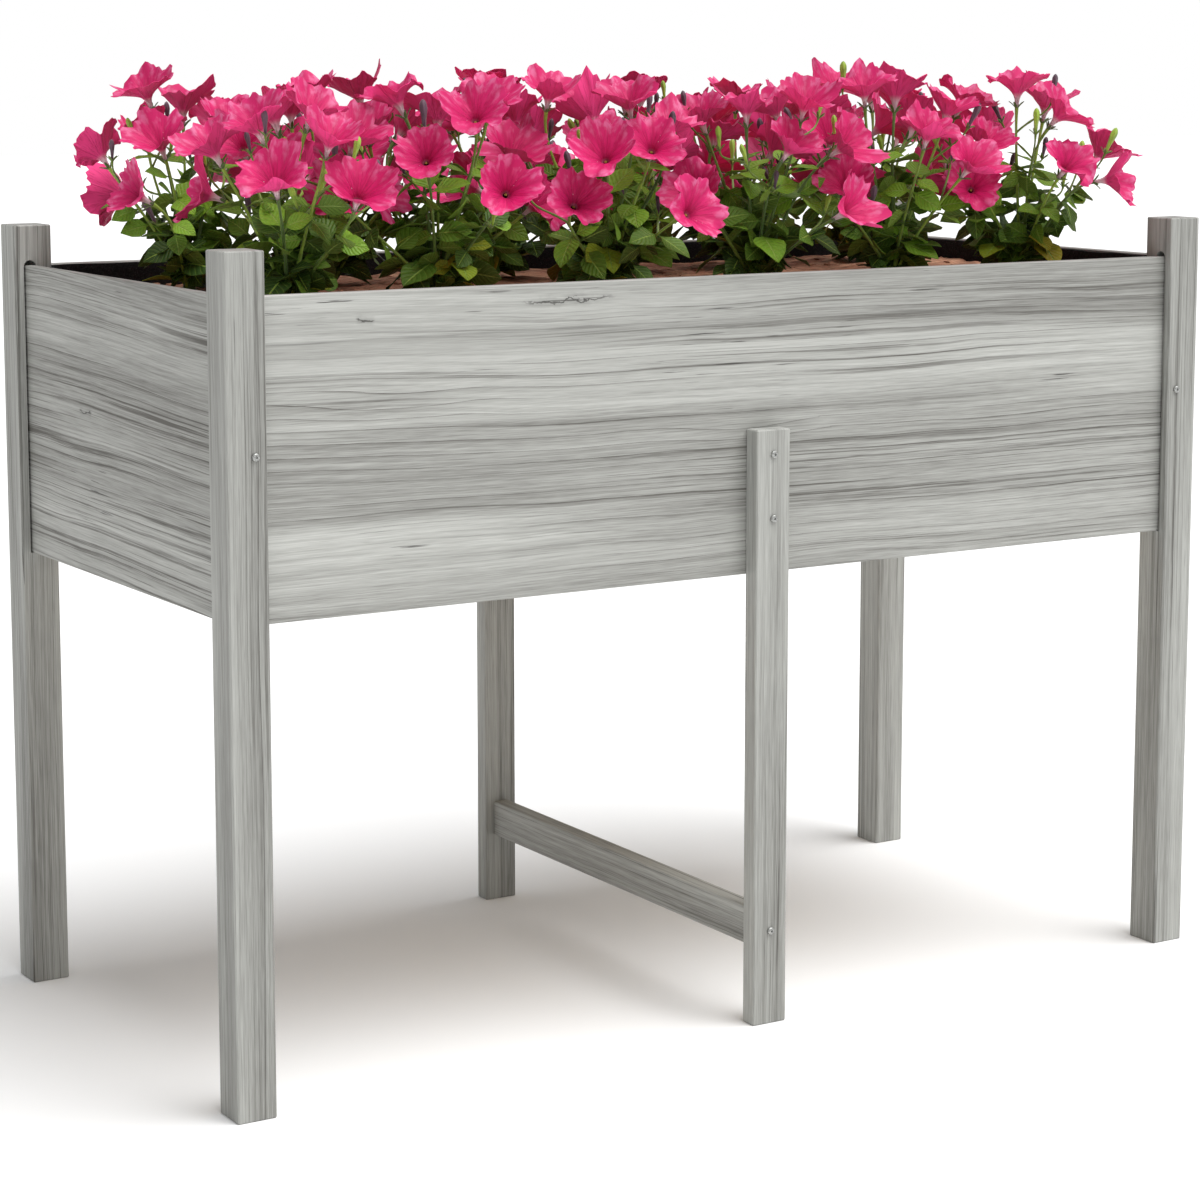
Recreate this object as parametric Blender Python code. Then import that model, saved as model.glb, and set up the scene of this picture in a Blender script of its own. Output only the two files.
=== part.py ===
"""Elevated planter box of grey stained wood, planted with pink petunias.

The box stands on four grooved corner legs and two flat centre legs that a stretcher joins. Four boards
slide down the corner legs' grooves and are held by coach screws, floor boards lie on two cleats, a felt
liner holds the soil, and twelve petunia plants stand in it. Units are metres, +Z is up, the long front
looks along -Y, and the origin is on the ground under the middle of the box.
"""

import math
import random
from dataclasses import dataclass, field

import bmesh
import bpy
import numpy as np
from mathutils import Matrix, Vector
from mathutils.bvhtree import BVHTree

# Driving sizes of the wooden box
BOX_LENGTH = 1.25
BOX_DEPTH = 0.60
FIT_GAP = 0.0003
EDGE_CHAMFER = 0.0012

LEG_SIDE = 0.043
LEG_HEIGHT = 0.872
GROOVE_FROM_FACE = 0.0100
GROOVE_WIDTH = 0.0147
GROOVE_DEPTH = 0.0170
GROOVE_RISE = 0.006
GROOVE_ARC_STEPS = 6

CENTRE_LEG_WIDTH = 0.043
CENTRE_LEG_THICK = 0.0215
CENTRE_LEG_HEIGHT = 0.661
CENTRE_LEG_X = 0.013

BOARD_THICK = 0.012
BOARD_HEIGHT = 0.325
BOARD_BOTTOM = 0.502
BOARD_SETBACK = 0.0122

STRETCHER_THICK = 0.020
STRETCHER_HEIGHT = 0.043
STRETCHER_BOTTOM = 0.084

CLEAT_SIDE = 0.020
CLEAT_LIFT = 0.002
FLOOR_THICK = 0.012
FLOOR_BOARDS = 7
FLOOR_JOINT = 0.004

LINER_THICK = 0.003
LINER_BELOW_BOARD = 0.001

# Coach screws
SCREW_SIDES = 6
SCREW_HEAD_RADIUS = 0.0045
SCREW_HEAD_HEIGHT = 0.0028
SCREW_SHANK_RADIUS = 0.0021
SCREW_HOLE_RADIUS = 0.0026
CORNER_SCREW_INSET = 0.030
CORNER_SCREW_Z = 0.671
CORNER_SCREW_LENGTH = 0.036
CENTRE_SCREW_Z = (0.634, 0.564)
CENTRE_SCREW_LENGTH = 0.031
STRETCHER_SCREW_LENGTH = 0.060

# Soil
SOIL_BELOW_BOARD = 0.027
SOIL_CELLS = (10, 4)
SOIL_LUMP = 0.004

# Planting: two staggered rows of plants
SEED = 41
ROW_Y = (-0.142, 0.136)
PLANTS_PER_ROW = 6
PLANT_SPACING = 0.192
PLANT_JITTER = 0.016
CROWN_SIDES = 6
CROWN_RADIUS = 0.0075
CROWN_DEPTH = 0.030
CROWN_COLLAR = 0.0048
CROWN_RISE = 0.014
CROWN_HOLE_RADIUS = 0.0098

BLOOMS_PER_PLANT = 12
BLOOM_TRIES = 160
PLANT_REACH = 0.138
BLOOM_HIGH = 1.030
BLOOM_LOW = 0.908
BLOOM_DOME = 2.6
BLOOM_SIZES = (0.93, 1.06)
HEIGHT_SCATTER = 0.018
ANGLE_SCATTER = 0.9
LEAN_DEGREES = (8, 74)
LEAN_SCATTER = 14
FACING_SCATTER = 0.45
FACING_ENDS = 0.6
FACING_FRONT = -0.75
FACING_BACK = 0.35
GOLDEN_ANGLE = math.radians(137.508)
NODE_SHARES = ((0.18, 0.34), (0.52, 0.74))
STEM_SIDES = 3
STEM_RADIUS = 0.0018
STEM_TIP_RADIUS = 0.0014
NODE_LENGTH = 0.0028

THROAT_LENGTH = 0.027
THROAT_RADIUS = 0.0095
CALYX_RADIUS = 0.0026
RIM_RADIUS = 0.0385
RIM_HEIGHT = 0.0385
NOTCH_RADIUS = 0.0330
NOTCH_HEIGHT = 0.0350
THROAT_FLOOR = 0.0270
LOBES = 5
LOBE_SPREAD = 0.05
LOBE_LIFT = (-0.0045, 0.0035)

LEAF_TRIES = 10
LEAF_LENGTH = (0.036, 0.052)
LEAF_WIDTH_SHARE = 0.62
LEAF_RIDGE = 0.0016
LEAF_WIDEST = 0.45
LEAF_DROOP = (0.05, 0.28)
LEAF_SIDEWAYS = 0.25
LEAF_ROLL = 0.30
STEM_LEAF_RISE = (-0.15, 0.55)
CROWN_LEAF_RISE = (0.30, 0.95)
LOWER_LEAF_SIZE = 1.1
UPPER_LEAF_SIZE = 0.9
CROWN_STEM = -1
NO_STEM = -2

BUD_TRIES = 10
BUD_EVERY = 4
BUD_STALK = (0.014, 0.022)
BUD_SIZES = (0.85, 1.15)
BUD_LENGTH = 0.026
BUD_RADIUS = 0.0030

# Clearances that keep one plant off the next, off the soil and off the wood
PLANT_GAP = 0.0012
KIN_GAP = 0.0004
ROOT_ZONE = 0.012
REACH_X = BOX_LENGTH / 2 - 0.006
REACH_Y = BOX_DEPTH / 2 - 0.001
CANOPY_TOP = 1.060

# Derived places
HALF_X = BOX_LENGTH / 2
HALF_Y = BOX_DEPTH / 2
BOARD_TOP = BOARD_BOTTOM + BOARD_HEIGHT
BOARD_INNER_X = HALF_X - BOARD_SETBACK - BOARD_THICK
BOARD_INNER_Y = HALF_Y - BOARD_SETBACK - BOARD_THICK
LEG_INNER_X = HALF_X - LEG_SIDE
LEG_INNER_Y = HALF_Y - LEG_SIDE
CENTRE_LEG_INNER_Y = HALF_Y - BOARD_SETBACK + FIT_GAP
CENTRE_LEG_OUTER_Y = CENTRE_LEG_INNER_Y + CENTRE_LEG_THICK
FLOOR_BOTTOM = BOARD_BOTTOM + CLEAT_LIFT + CLEAT_SIDE + FIT_GAP
LINER_BOTTOM = FLOOR_BOTTOM + FLOOR_THICK + FIT_GAP
SOIL_BOTTOM = LINER_BOTTOM + LINER_THICK + FIT_GAP
SOIL_TOP = BOARD_TOP - SOIL_BELOW_BOARD

WOOD = ("wood", (0.52, 0.53, 0.51), 0.62, 0.0)
FLOOR_WOOD = ("floor_wood", (0.44, 0.40, 0.34), 0.75, 0.0)
FELT = ("felt", (0.020, 0.018, 0.021), 0.95, 0.0)
SOIL = ("soil", (0.33, 0.14, 0.075), 0.95, 0.0)
STEEL = ("steel", (0.62, 0.62, 0.60), 0.35, 1.0)
LEAF_GREEN = ("leaf_green", (0.085, 0.20, 0.035), 0.50, 0.0)
PETAL_PINK = ("petal_pink", (0.78, 0.035, 0.19), 0.55, 0.0)


def material(node, finish):
    """A material for one node, in the colour, roughness and metallic value of its finish."""
    label, colour, roughness, metallic = finish
    made = bpy.data.materials.new(f"{node}_{label}")
    made.use_nodes = True
    shader = made.node_tree.nodes["Principled BSDF"]
    shader.inputs["Base Color"].default_value = (*colour, 1.0)
    shader.inputs["Roughness"].default_value = roughness
    shader.inputs["Metallic"].default_value = metallic
    return made


def add_object(name, bm, finishes=()):
    """Put a bmesh in the scene as an object with its faces pointing out."""
    bmesh.ops.recalc_face_normals(bm, faces=bm.faces[:])
    mesh = bpy.data.meshes.new(name)
    bm.to_mesh(mesh)
    bm.free()
    for finish in finishes:
        mesh.materials.append(material(name, finish))
    made = bpy.data.objects.new(name, mesh)
    bpy.context.scene.collection.objects.link(made)
    return made


def boolean(target, others, operation, solver="EXACT"):
    """Join the other objects to the target, or cut them from it, and remove them."""
    tools = bpy.data.collections.new("tools")
    bpy.context.scene.collection.children.link(tools)
    for other in others:
        bpy.context.scene.collection.objects.unlink(other)
        tools.objects.link(other)
    modifier = target.modifiers.new("join", "BOOLEAN")
    modifier.operand_type = "COLLECTION"
    modifier.collection = tools
    modifier.operation = operation
    modifier.solver = solver
    bpy.context.view_layer.objects.active = target
    bpy.ops.object.modifier_apply(modifier=modifier.name)
    for other in others:
        bpy.data.objects.remove(other)
    bpy.data.collections.remove(tools)


def block(low, high, chamfer=0.0):
    """A closed box between two corners, with its edges chamfered."""
    bm = bmesh.new()
    size = Vector(high) - Vector(low)
    middle = (Vector(high) + Vector(low)) / 2
    bmesh.ops.create_cube(bm, size=1.0, matrix=Matrix.Translation(middle) @ Matrix.Diagonal((*size, 1.0)))
    if chamfer:
        bmesh.ops.bevel(bm, geom=bm.edges[:], offset=chamfer, segments=1, affect="EDGES")
    return bm


def corner_block(sign_x, sign_y, x_range, y_range, z_range, chamfer=0.0):
    """A box given for the +X +Y corner and mirrored to the corner of the two signs."""
    x_pair = sorted(sign_x * x for x in x_range)
    y_pair = sorted(sign_y * y for y in y_range)
    low = (x_pair[0], y_pair[0], z_range[0])
    high = (x_pair[1], y_pair[1], z_range[1])
    return block(low, high, chamfer)


def prism(outline, depth):
    """A closed prism: an outline of 3-D points pushed along a vector."""
    bm = bmesh.new()
    base = bm.faces.new([bm.verts.new(point) for point in outline])
    pushed = bmesh.ops.extrude_face_region(bm, geom=[base])
    moved = [item for item in pushed["geom"] if isinstance(item, bmesh.types.BMVert)]
    bmesh.ops.translate(bm, verts=moved, vec=depth)
    return bm


def zip_pairs(low_count, up_count):
    """Edges that zip two rings together: pairs of places, from (0, 0) all the way round both."""
    low_step, up_step = 0, 0
    up_goal = 0 if up_count == 1 else up_count
    pairs = [(0, 0)]
    while low_step < low_count or up_step < up_goal:
        low_turn = (low_step + 1) * up_count <= (up_step + 1) * low_count
        if up_step >= up_goal or (low_step < low_count and low_turn):
            low_step += 1
        else:
            up_step += 1
        pairs.append((low_step, up_step))
    return pairs


def zip_rings(bm, lower, upper):
    """Join two rings with triangles; their numbers of points may differ, and the upper may be one point."""
    low_count, up_count = len(lower), len(upper)
    pairs = zip_pairs(low_count, up_count)
    made = []
    for (low, up), (next_low, next_up) in zip(pairs, pairs[1:]):
        third = lower[next_low % low_count] if next_low != low else upper[next_up % up_count]
        made.append(bm.faces.new((lower[low % low_count], third, upper[up % up_count])))
    return made


def least_twisted(lower, upper):
    """How far to turn each of two rings so that the edges that zip them are shortest."""
    low_count, up_count = len(lower), len(upper)
    pairs = zip_pairs(low_count, up_count)

    def length(turns):
        return sum((lower[(low + turns[0]) % low_count] - upper[(up + turns[1]) % up_count]).length
                   for low, up in pairs)

    return min(((low, up) for low in range(low_count) for up in range(up_count)), key=length)


def skin(rings, first_coloured=None):
    """A closed solid over a row of rings, capped at both ends unless the last ring is a single point.

    Faces from ring `first_coloured` on take the second material.
    """
    bm = bmesh.new()
    loops = [[bm.verts.new(point) for point in points] for points in rings]
    for index, (lower, upper) in enumerate(zip(loops, loops[1:])):
        for face in zip_rings(bm, lower, upper):
            face.material_index = int(first_coloured is not None and index >= first_coloured)
    bm.faces.new(loops[0])
    if len(loops[-1]) > 2:
        bm.faces.new(loops[-1])
    return bm


def wound(points, axis):
    """The points in the order that turns anticlockwise about an axis."""
    area = sum((a.cross(b) for a, b in zip(points, points[1:] + points[:1])), Vector())
    return list(points) if area.dot(axis) > 0 else list(points)[::-1]


def sprout(bm, mouth, rings, headings):
    """Carry a solid on from an open loop of its faces over further rings, and close the last."""
    outline = wound([vert.co for vert in mouth], headings[0])
    loop = sorted(mouth, key=lambda vert: outline.index(vert.co))
    for points, heading in zip(rings, headings):
        points = wound(points, heading)
        low_turn, up_turn = least_twisted([vert.co for vert in loop], points)
        upper = [bm.verts.new(point) for point in points[up_turn:] + points[:up_turn]]
        zip_rings(bm, loop[low_turn:] + loop[:low_turn], upper)
        loop = upper
    if len(loop) > 2:
        bm.faces.new(loop)


def ring(centre, side, up, radius, count):
    """Points on a circle; `side` and `up` are unit vectors in its plane."""
    steps = [2 * math.pi * step / count for step in range(count)]
    return [centre + side * (radius * math.cos(a)) + up * (radius * math.sin(a)) for a in steps]


def bore(start, direction, radius, length):
    """A hole's cutter: a prism with the screws' number of sides, from `start` along `direction`."""
    side = Vector((0.0, 0.0, 1.0))
    across = direction.cross(side)
    rings = [ring(start + direction * reach, side, across, radius, SCREW_SIDES) for reach in (0.0, length)]
    return add_object("bore", skin(rings))


@dataclass(frozen=True)
class Screw:
    """A coach screw: its name, the place under its head, the way it is driven and its length."""

    name: str
    seat: Vector
    direction: Vector
    length: float


def all_screws():
    """The screws of both long sides: two at the corners, two in the centre leg and one in the stretcher."""
    made = []
    for side, sign_y in (("front", -1), ("back", 1)):
        inwards = Vector((0.0, -sign_y, 0.0))
        for end, sign_x in (("left", -1), ("right", 1)):
            place = Vector((sign_x * (HALF_X - CORNER_SCREW_INSET), sign_y * HALF_Y, CORNER_SCREW_Z))
            made.append(Screw(f"screw_{side}_{end}", place, inwards, CORNER_SCREW_LENGTH))
        for level, height in zip(("upper", "lower"), CENTRE_SCREW_Z):
            place = Vector((CENTRE_LEG_X, sign_y * CENTRE_LEG_OUTER_Y, height))
            made.append(Screw(f"screw_{side}_centre_{level}", place, inwards, CENTRE_SCREW_LENGTH))
        height = STRETCHER_BOTTOM + STRETCHER_HEIGHT / 2
        place = Vector((CENTRE_LEG_X, sign_y * CENTRE_LEG_OUTER_Y, height))
        made.append(Screw(f"screw_{side}_stretcher", place, inwards, STRETCHER_SCREW_LENGTH))
    return made


def screw_holes(screws):
    """Cutters for the clearance holes of some screws, open at the head's end."""
    margin = 0.002
    return [bore(s.seat - s.direction * margin, s.direction, SCREW_HOLE_RADIUS, s.length + 2 * margin)
            for s in screws]


def build_screw(screw):
    """A tapered hexagonal head on a plain shank."""
    side = Vector((0.0, 0.0, 1.0))
    across = screw.direction.cross(side)
    under = -FIT_GAP
    profile = (
        (screw.length, SCREW_SHANK_RADIUS),
        (under, SCREW_SHANK_RADIUS),
        (under, SCREW_HEAD_RADIUS),
        (under - SCREW_HEAD_HEIGHT, 0.75 * SCREW_HEAD_RADIUS),
    )
    rings = [ring(screw.seat + screw.direction * reach, side, across, radius, SCREW_SIDES)
             for reach, radius in profile]
    add_object(screw.name, skin(rings), (STEEL,))


def groove(sign_x, sign_y, along_x):
    """Cutter for one stopped groove of a corner leg: square at the foot and round at the top."""
    radius = GROOVE_WIDTH / 2
    bottom = BOARD_BOTTOM - FIT_GAP
    arc_height = BOARD_TOP + GROOVE_RISE - radius
    mouth = 0.001
    half, inner = (HALF_Y, LEG_INNER_X) if along_x else (HALF_X, LEG_INNER_Y)
    middle = half - GROOVE_FROM_FACE - radius
    profile = [(middle - radius, bottom), (middle + radius, bottom)]
    for step in range(GROOVE_ARC_STEPS + 1):
        angle = math.pi * step / GROOVE_ARC_STEPS
        profile.append((middle + radius * math.cos(angle), arc_height + radius * math.sin(angle)))
    if along_x:
        outline = [(sign_x * (inner - mouth), sign_y * across, z) for across, z in profile]
        depth = Vector((sign_x * (GROOVE_DEPTH + mouth), 0.0, 0.0))
    else:
        outline = [(sign_x * across, sign_y * (inner - mouth), z) for across, z in profile]
        depth = Vector((0.0, sign_y * (GROOVE_DEPTH + mouth), 0.0))
    return add_object("groove", prism(outline, depth))


def build_corner_leg(name, sign_x, sign_y, screw):
    """A square leg with one groove for the long board, one for the end board, and a screw hole."""
    body = corner_block(sign_x, sign_y, (LEG_INNER_X, HALF_X), (LEG_INNER_Y, HALF_Y), (0.0, LEG_HEIGHT),
                        EDGE_CHAMFER)
    leg = add_object(name, body, (WOOD,))
    cutters = [groove(sign_x, sign_y, True), groove(sign_x, sign_y, False)] + screw_holes([screw])
    boolean(leg, cutters, "DIFFERENCE")


def build_centre_leg(name, sign_y, screws):
    """A flat leg screwed to the outside of a long board and to the stretcher."""
    body = corner_block(1, sign_y,
                        (CENTRE_LEG_X - CENTRE_LEG_WIDTH / 2, CENTRE_LEG_X + CENTRE_LEG_WIDTH / 2),
                        (CENTRE_LEG_INNER_Y, CENTRE_LEG_OUTER_Y), (0.0, CENTRE_LEG_HEIGHT), EDGE_CHAMFER)
    leg = add_object(name, body, (WOOD,))
    boolean(leg, screw_holes(screws), "DIFFERENCE")


def build_long_board(name, sign_y, screws):
    """A front or back board, whose ends stand in the corner legs' grooves."""
    half = LEG_INNER_X + GROOVE_DEPTH - FIT_GAP
    body = corner_block(1, sign_y, (-half, half), (BOARD_INNER_Y, HALF_Y - BOARD_SETBACK),
                        (BOARD_BOTTOM, BOARD_TOP), EDGE_CHAMFER)
    board = add_object(name, body, (WOOD,))
    boolean(board, screw_holes(screws), "DIFFERENCE")


def build_end_board(name, sign_x):
    """A left or right board."""
    half = LEG_INNER_Y + GROOVE_DEPTH - FIT_GAP
    body = corner_block(sign_x, 1, (BOARD_INNER_X, HALF_X - BOARD_SETBACK), (-half, half),
                        (BOARD_BOTTOM, BOARD_TOP), EDGE_CHAMFER)
    add_object(name, body, (WOOD,))


def build_stretcher(screws):
    """The rail between the two centre legs."""
    half = CENTRE_LEG_INNER_Y - FIT_GAP
    low = (CENTRE_LEG_X - STRETCHER_THICK / 2, -half, STRETCHER_BOTTOM)
    high = (CENTRE_LEG_X + STRETCHER_THICK / 2, half, STRETCHER_BOTTOM + STRETCHER_HEIGHT)
    rail = add_object("stretcher", block(low, high, EDGE_CHAMFER), (WOOD,))
    boolean(rail, screw_holes(screws), "DIFFERENCE")


def build_cleat(name, sign_y):
    """The batten along the foot of a long board, which the floor boards lie on."""
    half = LEG_INNER_X - FIT_GAP
    outer = BOARD_INNER_Y - FIT_GAP
    bottom = BOARD_BOTTOM + CLEAT_LIFT
    body = corner_block(1, sign_y, (-half, half), (outer - CLEAT_SIDE, outer), (bottom, bottom + CLEAT_SIDE))
    add_object(name, body, (FLOOR_WOOD,))


def notched_outline(half_x, half_y, leg_x, leg_y, z):
    """A rectangle with its corners cut out where the legs stand, as 3-D points at one height."""
    points = []
    for sign_x, sign_y in ((1, 1), (-1, 1), (-1, -1), (1, -1)):
        corner = [(half_x, leg_y), (leg_x, leg_y), (leg_x, half_y)]
        if sign_x * sign_y < 0:
            corner.reverse()
        points += [(sign_x * x, sign_y * y, z) for x, y in corner]
    return points


def build_floor():
    """Boards across the box, with the outer two notched round the legs."""
    half_x, half_y = BOARD_INNER_X - FIT_GAP, BOARD_INNER_Y - FIT_GAP
    leg_x, leg_y = LEG_INNER_X - FIT_GAP, LEG_INNER_Y - FIT_GAP
    width = (2 * half_x - (FLOOR_BOARDS - 1) * FLOOR_JOINT) / FLOOR_BOARDS
    top = FLOOR_BOTTOM + FLOOR_THICK
    for index in range(FLOOR_BOARDS):
        left = -half_x + index * (width + FLOOR_JOINT)
        name = f"floor_board_{index + 1}"
        if 0 < index < FLOOR_BOARDS - 1:
            body = block((left, -half_y, FLOOR_BOTTOM), (left + width, half_y, top))
        else:
            inner = half_x - width
            sign = -1 if index == 0 else 1
            outline = [(inner, -half_y), (leg_x, -half_y), (leg_x, -leg_y), (half_x, -leg_y),
                       (half_x, leg_y), (leg_x, leg_y), (leg_x, half_y), (inner, half_y)]
            body = prism([(sign * x, y, FLOOR_BOTTOM) for x, y in outline], Vector((0.0, 0.0, FLOOR_THICK)))
        add_object(name, body, (FLOOR_WOOD,))


def build_liner():
    """The open felt tub that lines the boards, folded round the legs' inner corners."""
    outer = notched_outline(BOARD_INNER_X - FIT_GAP, BOARD_INNER_Y - FIT_GAP,
                            LEG_INNER_X - FIT_GAP, LEG_INNER_Y - FIT_GAP, LINER_BOTTOM)
    inner = notched_outline(BOARD_INNER_X - FIT_GAP - LINER_THICK, BOARD_INNER_Y - FIT_GAP - LINER_THICK,
                            LEG_INNER_X - FIT_GAP - LINER_THICK, LEG_INNER_Y - FIT_GAP - LINER_THICK,
                            LINER_BOTTOM + LINER_THICK)
    height = BOARD_TOP - LINER_BELOW_BOARD - LINER_BOTTOM
    liner = add_object("liner", prism(outer, Vector((0.0, 0.0, height))), (FELT,))
    hollow = add_object("hollow", prism(inner, Vector((0.0, 0.0, height))))
    boolean(liner, [hollow], "DIFFERENCE")


def soil_height(x, y):
    """The lumpy soil surface: a few crossing waves."""
    wave = math.sin(31 * x + 9 * y) * math.cos(27 * y - 6 * x)
    ripple = math.sin(67 * x - 41 * y) * math.sin(53 * y + 17 * x)
    return SOIL_TOP + SOIL_LUMP * (0.6 * wave + 0.4 * ripple)


def build_soil(crowns):
    """The bed of soil, cut clear of the folded liner corners, with one plain hole for each plant."""
    wall = FIT_GAP * 2 + LINER_THICK
    half_x, half_y = BOARD_INNER_X - wall, BOARD_INNER_Y - wall
    leg_x, leg_y = LEG_INNER_X - wall, LEG_INNER_Y - wall
    bm = bmesh.new()
    bmesh.ops.create_grid(bm, x_segments=SOIL_CELLS[0], y_segments=SOIL_CELLS[1], size=1.0,
                          matrix=Matrix.Diagonal((half_x, half_y, 1.0, 1.0)))
    rim = [edge for edge in bm.edges if edge.is_boundary]
    for vert in bm.verts:
        vert.co.z = soil_height(vert.co.x, vert.co.y)
    walls = bmesh.ops.extrude_edge_only(bm, edges=rim)["geom"]
    lower = [item for item in walls if isinstance(item, bmesh.types.BMVert)]
    for vert in lower:
        vert.co.z = SOIL_BOTTOM
    foot = [item for item in walls if isinstance(item, bmesh.types.BMEdge) and item.is_boundary]
    bmesh.ops.contextual_create(bm, geom=foot)
    soil = add_object("soil", bm, (SOIL,))
    beyond = 0.01
    cutters = [add_object("corner", corner_block(sign_x, sign_y, (leg_x, half_x + beyond),
                                                 (leg_y, half_y + beyond),
                                                 (SOIL_BOTTOM - beyond, SOIL_TOP + 4 * SOIL_LUMP)))
               for sign_x in (-1, 1) for sign_y in (-1, 1)]
    for crown in crowns:
        foot_z = Vector((crown.x, crown.y, SOIL_TOP - CROWN_DEPTH - FIT_GAP))
        mouth_z = Vector((crown.x, crown.y, SOIL_TOP + 4 * SOIL_LUMP))
        rings = [ring(point, Vector((1, 0, 0)), Vector((0, 1, 0)), CROWN_HOLE_RADIUS, CROWN_SIDES)
                 for point in (foot_z, mouth_z)]
        cutters.append(add_object("hole", skin(rings)))
    boolean(soil, cutters, "DIFFERENCE")


@dataclass(frozen=True)
class Bloom:
    """A flower and its stem: the stem's points from crown to calyx, the flower's frame, size and lobes."""

    stem: tuple
    axis: Vector
    side: Vector
    size: float
    lobes: tuple


@dataclass(frozen=True)
class Leaf:
    """A leaf: the face that it grows from, its root, direction, upper side, length and droop.

    The face is a tuple of the stem's number (CROWN_STEM for the crown), the node up it and the side.
    """

    place: tuple
    root: Vector
    along: Vector
    normal: Vector
    length: float
    droop: float


@dataclass(frozen=True)
class Bud:
    """An unopened flower on a short stalk: the stem's face that it grows from and its three points."""

    place: tuple
    root: Vector
    base: Vector
    tip: Vector


@dataclass
class Plant:
    """One petunia: its crown in the soil, its flowers, leaves and buds."""

    crown: Vector
    blooms: list = field(default_factory=list)
    leaves: list = field(default_factory=list)
    buds: list = field(default_factory=list)


class Thicket:
    """The room that growth has taken so far, kept as balls round every stem, leaf, bud and flower."""

    def __init__(self):
        self.centres = np.zeros((0, 3))
        self.radii = np.zeros(0)
        self.plants = np.zeros(0, int)
        self.stems = np.zeros(0, int)

    def add(self, balls, plant, stem):
        """Take the room of some balls; `stem` is NO_STEM for all that isn't a bare stem."""
        self.centres = np.vstack([self.centres, [centre for centre, _ in balls]])
        self.radii = np.append(self.radii, [radius for _, radius in balls])
        self.plants = np.append(self.plants, [plant] * len(balls))
        self.stems = np.append(self.stems, [stem] * len(balls))

    def has_room(self, balls, plant, stem, root=None):
        """Whether the balls are clear of the wood, the soil and all growth but the stem beside their root."""
        centres = np.array([centre for centre, _ in balls])
        radii = np.array([radius for _, radius in balls])
        if not clear_of_box(centres, radii):
            return False
        gaps = np.linalg.norm(centres[:, None] - self.centres[None], axis=2)
        apart = gaps - radii[:, None] - self.radii[None]
        other = self.plants != plant
        own = ~other & (self.stems == stem)
        if root is not None:
            near_root = np.linalg.norm(self.centres - np.array(root), axis=1) < ROOT_ZONE
            own = ~other & near_root & ((self.stems == stem) | (stem == CROWN_STEM))
        kin = ~other & ~own
        return not ((apart[:, other] < PLANT_GAP).any() or (apart[:, kin] < KIN_GAP).any())


def clear_of_box(centres, radii):
    """Whether balls lie over the bed, above the soil and clear of boards and corner legs."""
    across, deep = np.abs(centres[:, 0]) + radii, np.abs(centres[:, 1]) + radii
    high, low = centres[:, 2] + radii, centres[:, 2] - radii
    margin = 0.001
    outside = (across > REACH_X) | (deep > REACH_Y) | (high > CANOPY_TOP)
    in_soil = low < SOIL_TOP + SOIL_LUMP + margin
    wall_x, wall_y = BOARD_INNER_X - LINER_THICK - 2 * margin, BOARD_INNER_Y - LINER_THICK - 2 * margin
    in_board = (low < BOARD_TOP + margin) & ((across > wall_x) | (deep > wall_y))
    post_x, post_y = LEG_INNER_X - LINER_THICK - 2 * margin, LEG_INNER_Y - LINER_THICK - 2 * margin
    in_leg = (low < LEG_HEIGHT + margin) & (across > post_x) & (deep > post_y)
    return not (outside | in_soil | in_board | in_leg).any()


def along_line(points, share):
    """The point at a share of the way along a broken line."""
    lengths = [(end - start).length for start, end in zip(points, points[1:])]
    left = share * sum(lengths)
    for start, end, length in zip(points, points[1:], lengths):
        if left <= length:
            break
        left -= length
    return start + (end - start) * min(1.0, left / length)


def level_direction(angle):
    """The level unit vector at an angle from +X."""
    return Vector((math.cos(angle), math.sin(angle), 0.0))


def stem_frames(bloom):
    """A frame at each of the stem's points: the point, two unit vectors across the stem, and its heading."""
    points, side, frames = bloom.stem, bloom.side, []
    last = len(points) - 1
    for place in range(last, -1, -1):
        ahead = points[min(place + 1, last)] - points[max(place - 1, 0)]
        heading = bloom.axis if place == last else ahead.normalized()
        side = (side - heading * side.dot(heading)).normalized()
        frames.append((points[place], side, heading.cross(side), heading))
    return frames[::-1]


def face_direction(frame, place):
    """The way that one face of a stem or crown looks."""
    _, side, up, _ = frame
    sides = CROWN_SIDES if place[0] == CROWN_STEM else STEM_SIDES
    angle = 2 * math.pi * (place[2] + 0.5) / sides
    return side * math.cos(angle) + up * math.sin(angle)


def stem_balls(points):
    """Balls along a stem, from just above the crown."""
    first, count = 0.14, 18
    shares = [first + (1 - first) * step / count for step in range(count + 1)]
    return [(along_line(points, share), 0.0024) for share in shares]


def bloom_balls(bloom):
    """Balls over a flower's tube and limb."""
    base, axis, up = bloom.stem[-1], bloom.axis, bloom.axis.cross(bloom.side)
    scale = bloom.size
    balls = [(base + axis * (height * scale), 0.0055) for height in (0.007, 0.017)]
    for count, height, radius, ball in ((5, 0.027, 0.0115, 0.0070), (10, 0.0362, 0.0300, 0.0090)):
        centre = base + axis * (height * scale)
        balls += [(point, ball) for point in ring(centre, bloom.side, up, radius * scale, count)]
    return balls


def leaf_point(leaf, share, across, lift=0.0):
    """A point of a leaf's blade: share of its length, metres across it and metres above it."""
    side = leaf.normal.cross(leaf.along)
    fall = leaf.droop * leaf.length * share * share
    return leaf.root + leaf.along * (share * leaf.length) + side * across + leaf.normal * (lift - fall)


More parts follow.
